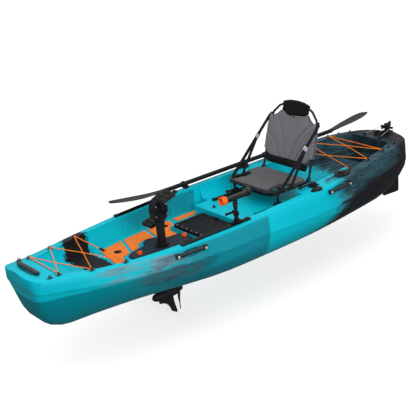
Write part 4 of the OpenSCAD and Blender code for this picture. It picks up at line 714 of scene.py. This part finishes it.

# %% [markdown]
# ## Seams, binding and stitching
# A seam shows as a dark groove with a line of pale thread beside it; the dark tube laid in each groove is painted
# shade, and every cut edge is closed by a folded tape. The lines are laid on the finished panel by looking straight
# down on it, as one would with the shrinkwrap modifier, and then carried along with the same tube as the cords.

# %% Lay seam lines on a panel
def laid_on(panel, place, line, steps=10, above=0.0006):
    """Drops the flat line (u, v) on panel's front face and returns the points in the row frame."""
    tree = BVHTree.FromPolygons([v.co for v in panel.data.vertices], [p.vertices for p in panel.data.polygons])
    away = (place.to_3x3() @ Vector((0, 0, 1))).normalized()
    path = []
    for q in smooth_curve([(u, v, 0.0) for u, v in line], steps):
        flat = place @ q
        hit = tree.ray_cast(flat + away * 0.1, -away)[0]
        if hit:
            path.append(hit + away * above)
    return path


def shifted(line, by):
    """The line moved sideways in its own plane."""
    out = []
    for i, (u, v) in enumerate(line):
        a, b = line[max(i - 1, 0)], line[min(i + 1, len(line) - 1)]
        du, dv = b[0] - a[0], b[1] - a[1]
        size = math.hypot(du, dv)
        out.append((u - dv / size * by, v + du / size * by))
    return out


def sew(panel, place, lines, body, name):
    for i, line in enumerate(lines):
        # the dark tube in the channel is painted shade; the pale tube beside it is the thread
        tube(laid_on(panel, place, line), 0.0013, f"{name}_seam_{i}", seam_groove_shade, body, sides=6)
        tube(laid_on(panel, place, shifted(line, 0.0042)), 0.0007, f"{name}_stitch_{i}", pale_thread, body, sides=6)


def inside(outline, by):
    """The closed outline drawn inwards, towards its middle, by a small share."""
    mu = sum(p[0] for p in outline) / len(outline)
    mv = sum(p[1] for p in outline) / len(outline)
    out = []
    for u, v in outline:
        far = math.hypot(u - mu, v - mv)
        out.append((mu + (u - mu) * (1 - by / far), mv + (v - mv) * (1 - by / far)))
    return out


def bind(panel, place, outline, body, name, radius=0.0026):
    loop = inside(outline, 0.004)
    tube(laid_on(panel, place, loop + loop[:1], 4), radius, name + "_binding", binding_tape, body, sides=8)


pale_thread = moulded("pale_thread", (0.34, 0.34, 0.36), 0.8)
binding_tape = webbing("binding_tape", (0.012, 0.012, 0.013))
sew(seat_back_sling, back_plane, back_seams, "seat_back", "back")
sew(seat_pan_sling, pan_plane, pan_seams, "seat_base", "pan")
bind(seat_back_sling, back_plane, back_outline, "seat_back", "back")
bind(seat_pan_sling, pan_plane, pan_outline, "seat_base", "pan")
print("seams:", len(back_seams) + len(pan_seams))

# %% [markdown]
# ## Straps
# Each side of the seat back is held by a webbing strap that forks at a buckle: one leg goes to the front of the pan,
# one to its middle. The straps are flat grids bent along a path and thickened with solidify. They cross the fold joint
# but belong to neither body; only the loops round the tubes ride with the back and the pan.

# %% Webbing straps with buckles
def ribbon(path, flat, wide, thick, name, finish, body=None):
    """A flat strap along path; flat is the direction in which its face looks."""
    path = [Vector(p) for p in path]
    flat = Vector(flat).normalized()
    bm = bmesh.new()
    bmesh.ops.create_grid(bm, x_segments=len(path) - 1, y_segments=2, size=1)
    places = sorted({round(v.co.x, 5) for v in bm.verts})
    for v in bm.verts:
        i = places.index(round(v.co.x, 5))
        ahead = (path[min(i + 1, len(path) - 1)] - path[max(i - 1, 0)]).normalized()
        across = ahead.cross(flat).normalized()
        v.co = path[i] + across * (v.co.y * wide / 2) + across.cross(ahead) * (thick / 2)
    bmesh.ops.recalc_face_normals(bm, faces=bm.faces)
    bmesh.ops.solidify(bm, geom=bm.faces[:], thickness=thick)
    bmesh.ops.recalc_face_normals(bm, faces=bm.faces)
    return piece(bm, name, finish, body, smooth=False)


def ring_round(centre, axis, radius, wide, name, finish, body):
    """A strap end wrapped once round a tube."""
    centre, axis = Vector(centre), Vector(axis).normalized()
    up = axis.orthogonal().normalized()
    bm = bmesh.new()
    bmesh.ops.create_cone(bm, segments=20, radius1=radius, radius2=radius, depth=wide, cap_ends=False)
    bmesh.ops.solidify(bm, geom=bm.faces[:], thickness=-0.002)
    bm.transform(Matrix.Translation(centre) @ axis.to_track_quat("Z", "Y").to_matrix().to_4x4())
    bmesh.ops.recalc_face_normals(bm, faces=bm.faces)
    return piece(bm, name, finish, body)


def rounded_box(size, name, finish, body, place, bevel=0.0015, segments=2):
    bm = bmesh.new()
    bmesh.ops.create_cube(bm, size=1)
    bmesh.ops.scale(bm, verts=bm.verts, vec=size)
    bmesh.ops.bevel(bm, geom=bm.edges[:], offset=bevel, segments=segments, profile=0.5, affect="EDGES", material=-1)
    bm.transform(place)
    return piece(bm, name, finish, body, smooth=False)


STRAP_TOP = 0.373  # up the slope from the hinge
for k, side_name in ((1, "port"), (-1, "starboard")):
    strap_y = (TUBE_Y + TUBE_R + 0.0016) * k
    top = Vector((HINGE.x - STRAP_TOP * math.sin(LEAN), strap_y - 0.0032 * k, HINGE.z + STRAP_TOP * math.cos(LEAN)))
    front = Vector((station(1.390), strap_y, 0.374))
    rear = Vector((station(1.2975), strap_y, 0.368))
    fork = top.lerp(front, 0.36)
    parts = []
    legs = (("upper", top, fork, 0.025), ("front", fork, front, 0.027), ("rear", fork, rear, 0.024))
    for leg, a, b, wide in legs:
        way = [a.lerp(b, i / 12) + Vector((0, 0.0012 * k * math.sin(math.pi * i / 12), 0)) for i in range(13)]
        strap = ribbon(way, (0, k, 0), wide, 0.0024, f"seat_strap_{leg}_{side_name}", strap_web)
        parts.append(strap)
    way = (front - top).normalized()
    turn = Matrix((way, Vector((0, 1, 0)), way.cross(Vector((0, 1, 0))))).transposed().to_4x4()
    for j, (along, long, wide, thick, finish) in enumerate(((0.0, 0.030, 0.036, 0.009, strap_silver),
                                                            (-0.019, 0.012, 0.032, 0.006, nylon))):
        spot = Matrix.Translation(fork + way * along + Vector((0, 0.002 * k, 0))) @ turn
        parts.append(rounded_box((long, thick, wide), f"strap_buckle_{j}_{side_name}", finish, None, spot))
    for part in parts:
        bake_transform(part)
    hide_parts("seat_straps")
    ring_round((top.x, TUBE_Y * k, top.z), (-math.sin(LEAN), 0, math.cos(LEAN)), BACK_TUBE_R + 0.0012, 0.03,
               f"strap_loop_top_{side_name}", strap_web, "seat_back")
    for j, end in enumerate((front, rear)):
        ring_round((end.x, TUBE_Y * k, end.z - 0.004), (math.cos(PAN_TILT), 0, math.sin(PAN_TILT)),
                   TUBE_R + 0.0012, 0.028, f"strap_loop_{j}_{side_name}", strap_web, "seat_base")
print("straps done")

# %% [markdown]
# ## Slings under the pan
# Three webbing slings hang from tube to tube under the pan and catch it when someone sits down.

# %% Hang the slings
for i in range(3):
    x = station(PAN_REAR + 0.119 + 0.072 * i)
    way = []
    for k in range(25):
        t = k / 24 * 2 - 1
        way.append((x, TUBE_Y * t, 0.3435 - 0.045 * (1 - t * t) ** 0.8 + 0.05 * (x + 0.4) * 0.4))
    sling = ribbon(way, (0, 0, 1), 0.03, 0.0022, f"pan_sling_{i}", strap_web, "seat_base")
    if i == 0:
        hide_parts("sling_straps")
print("sling length", round(length_of(way), 3))

# %% [markdown]
# ## Screws
# One pan-head screw is modelled once: a bevelled disc whose cross is cut by pressing in the middle of its top.
# Its mesh is then copied for every place that needs it, and each copy is baked to its own place.

# %% Model one screw and place the rest
def screw_head(radius, name):
    bm = bmesh.new()
    bmesh.ops.create_cone(bm, segments=24, radius1=radius, radius2=radius, depth=radius * 0.6, cap_ends=True)
    top = [e for e in bm.edges if all(v.co.z > 0 for v in e.verts)]
    bmesh.ops.bevel(bm, geom=top, offset=radius * 0.35, segments=3, profile=0.5, affect="EDGES", material=-1)
    crown = [f for f in bm.faces if f.normal.z > 0.99]
    bmesh.ops.inset_region(bm, faces=crown, thickness=radius * 0.28, depth=0)
    crown = [f for f in bm.faces if f.normal.z > 0.99 and f.calc_area() > radius * radius * 0.2]
    bmesh.ops.inset_region(bm, faces=crown, thickness=radius * 0.1, depth=-radius * 0.2)
    for f in bm.faces:
        f.smooth = True
    mesh = bpy.data.meshes.new(name)
    bm.to_mesh(mesh)
    bm.free()
    mesh.materials.append(bright_zinc)
    return mesh


def put_screw(mesh, place, ahead, name, body):
    """Copies of one mesh differ only in their matrix, so we bake each into a mesh of its own place."""
    copy = mesh.copy()
    copy.transform(Matrix.Translation(place) @ Vector(ahead).to_track_quat("Z", "Y").to_matrix().to_4x4())
    obj = bpy.data.objects.new(name, copy)
    bpy.context.scene.collection.objects.link(obj)
    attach(obj, body)
    return obj


def loose_boxes(node):
    """The box of each separate solid in a node, as (low, high)."""
    bm = bmesh.new()
    bm.from_mesh(nodes[node].data)
    bm.transform(nodes[node].matrix_world)
    bmesh.ops.remove_doubles(bm, verts=bm.verts, dist=0.00001)
    todo, found = set(bm.verts), []
    while todo:
        heap = [todo.pop()]
        part = []
        while heap:
            v = heap.pop()
            part.append(v.co.copy())
            for e in v.link_edges:
                w = e.other_vert(v)
                if w in todo:
                    todo.remove(w)
                    heap.append(w)
        found.append((Vector(map(min, zip(*part))), Vector(map(max, zip(*part)))))
    bm.free()
    return found


small_screw = screw_head(0.0032, "small_screw")
count = 0
for low_corner, high_corner in loose_boxes("pad_eyes"):
    middle = (low_corner + high_corner) / 2
    for k in (-1, 1):
        place = Vector((middle.x + 0.0125 * k, middle.y, low_corner.z + 0.0045))
        put_screw(small_screw, place, (0, 0, 1), f"eye_screw_{count}", "hull")
        count += 1
lid_screw = screw_head(0.0036, "lid_screw")
lid_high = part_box("hatch_lid")[1]
lid_top = Vector(lid_high).z
for i in range(6):
    y = -0.125 + 0.05 * i
    put_screw(lid_screw, Vector((lid_high[0] - 0.012, y, lid_top + 0.0006)), (0, 0, 1), f"lid_screw_{i}", "hatch_lid")
print("screws placed:", count, "in the eyes, 6 in the lid")

# %% [markdown]
# ## The hull's smooth skin
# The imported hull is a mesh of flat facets. A copy with its doubles merged is shaded smooth, except along the
# edges that a mould would really leave crisp, which we mark by their angle. Only the tip of the nose changes
# its shape: it ends 46 mm further aft than the solid's.

# %% Smooth copy of the hull
def smooth_copy(node, finish, body, angle=32, weld=0.00002, shape=None):
    bm = bmesh.new()
    bm.from_mesh(nodes[node].data)
    bm.transform(nodes[node].matrix_world)
    bmesh.ops.remove_doubles(bm, verts=bm.verts, dist=weld)
    if shape:
        for v in bm.verts:
            v.co = shape(v.co)
    for f in bm.faces:
        f.smooth = True
    for e in bm.edges:
        e.smooth = len(e.link_faces) == 2 and e.calc_face_angle(0.0) < math.radians(angle)
    obj = piece(bm, node + "_smooth", finish)
    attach(obj, body)
    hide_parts(node)
    return obj


NOSE_START, NOSE_SHARE = station(3.165), 0.55


def blunt_nose(p):
    """The real bow ends in a blunter nose, so what lies beyond NOSE_START is drawn in to NOSE_SHARE."""
    return Vector((NOSE_START + (p.x - NOSE_START) * NOSE_SHARE, p.y, p.z)) if p.x > NOSE_START else p


hull_skin = smooth_copy("hull_shell", marbled_hull, "hull", shape=blunt_nose)

# %% [markdown]
# ## Deck lacing
# Both lacings are followed as one cord each. At an eye the cord turns through the ring on a small curve.

# %% Lace the bow and the stern
def through_eyes(stops, bend=0.011):
    """Straight runs between the stops, rounded at each one; every second run rides over the others."""
    stops = [Vector(p) for p in stops]
    runs = list(zip(stops, stops[1:]))
    path = []
    for i, (a, b) in enumerate(runs):
        way = (b - a).normalized()
        first = a if i == 0 else a + way * bend
        last = b if i == len(runs) - 1 else b - way * bend
        crosses = abs(a.x - b.x) > 0.05
        for k in range(33):
            t = k / 32
            lift = CORD_R * 1.25 * math.sin(math.pi * t) ** 2 * (1 if i % 2 else -1) if crosses else 0.0
            path.append(first.lerp(last, t) + Vector((0, 0, lift)))
        if i < len(runs) - 1:
            c, d = runs[i + 1]
            leave = c + (d - c).normalized() * bend
            out = (c - (last + leave) / 2)
            knee = c + out.normalized() * 0.004 if out.length > 1e-6 else c
            for k in range(1, 8):
                t = k / 8
                path.append(last * (1 - t) ** 2 + knee * 2 * t * (1 - t) + leave * t * t)
    return path


def eye(x, y, z, k):
    return (x, y * k, z)


bow_eyes = [(1.404, 0.1683, 0.3804), (1.227, 0.2311, 0.3622), (1.027, 0.2803, 0.3530)]
stern_eyes = [(-1.217, 0.2649, 0.3959), (-1.025, 0.2982, 0.3884), (-0.837, 0.2968, 0.3751)]
bow_stops = [eye(*bow_eyes[i], k) for i, k in ((2, -1), (2, 1), (1, -1), (0, 1), (0, -1), (1, 1), (2, -1))]
stern_stops = [eye(*stern_eyes[i], k) for i, k in ((2, -1), (1, 1), (0, -1), (0, 1), (1, -1), (2, 1))]


def lace(stops, name, node):
    path = through_eyes(stops)
    cord = tube(path, CORD_R, name, orange_braid, "hull", sides=10)
    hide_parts(node)
    print(name, "is", round(length_of(path), 2), "m long")
    return cord


bow_lacing = lace(bow_stops, "bow_lacing", "front_bungee")
stern_lacing = lace(stern_stops, "stern_lacing", "stern_bungee")

# %% [markdown]
# ## Rudder cables
# Each cable runs from its grommet to one arm of the tiller. The grommet stays with the hull and the arm turns with the
# rudder; each cable is one straight tube between them and belongs to neither body.

# %% Run the cables
CABLE_R = 0.0016
for k, side_name in ((1, "port"), (-1, "starboard")):
    start, end = Vector((-1.418, 0.072 * k, 0.3997)), Vector((-1.560, 0.046 * k, 0.4193))
    way = [start.lerp(end, i / 16) for i in range(17)]
    cable = tube(way, CABLE_R, f"rudder_cable_{side_name}", polished_steel, sides=10)
    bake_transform(cable)
    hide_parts("rudder_cables")
print("cable length", round(length_of(way), 3))

# %% [markdown]
# ## The bow grip
# The grip is thickest in the middle and glossy from handling. A tube is carried across the dish, and its
# points are then moved out or in from its axis, which gives the taper and the slightly flat section.

# %% Shape the grip
GRIP_X, GRIP_Z, GRIP_REACH = 1.501, 0.398, 0.1
way = [Vector((GRIP_X, y, GRIP_Z - 0.004 * (y / GRIP_REACH) ** 4))
       for y in (GRIP_REACH * (i / 16 - 1) for i in range(33))]
grip = tube(way, 0.011, "bow_grip", gloss_black, "hull", sides=24)
for v in grip.data.vertices:
    t = min(1.0, abs(v.co.y) / GRIP_REACH)
    v.co.x = GRIP_X + (v.co.x - GRIP_X) * (1.5 - 0.5 * t * t)
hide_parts("bow_handle")
for k in (-1, 1):
    foot = Matrix.Translation((GRIP_X, 0.092 * k, GRIP_Z - 0.002))
    foot_name = "bow_grip_foot_port" if k > 0 else "bow_grip_foot_starboard"
    rounded_box((0.026, 0.034, 0.020), foot_name, gloss_black, "hull", foot, 0.003, 3)
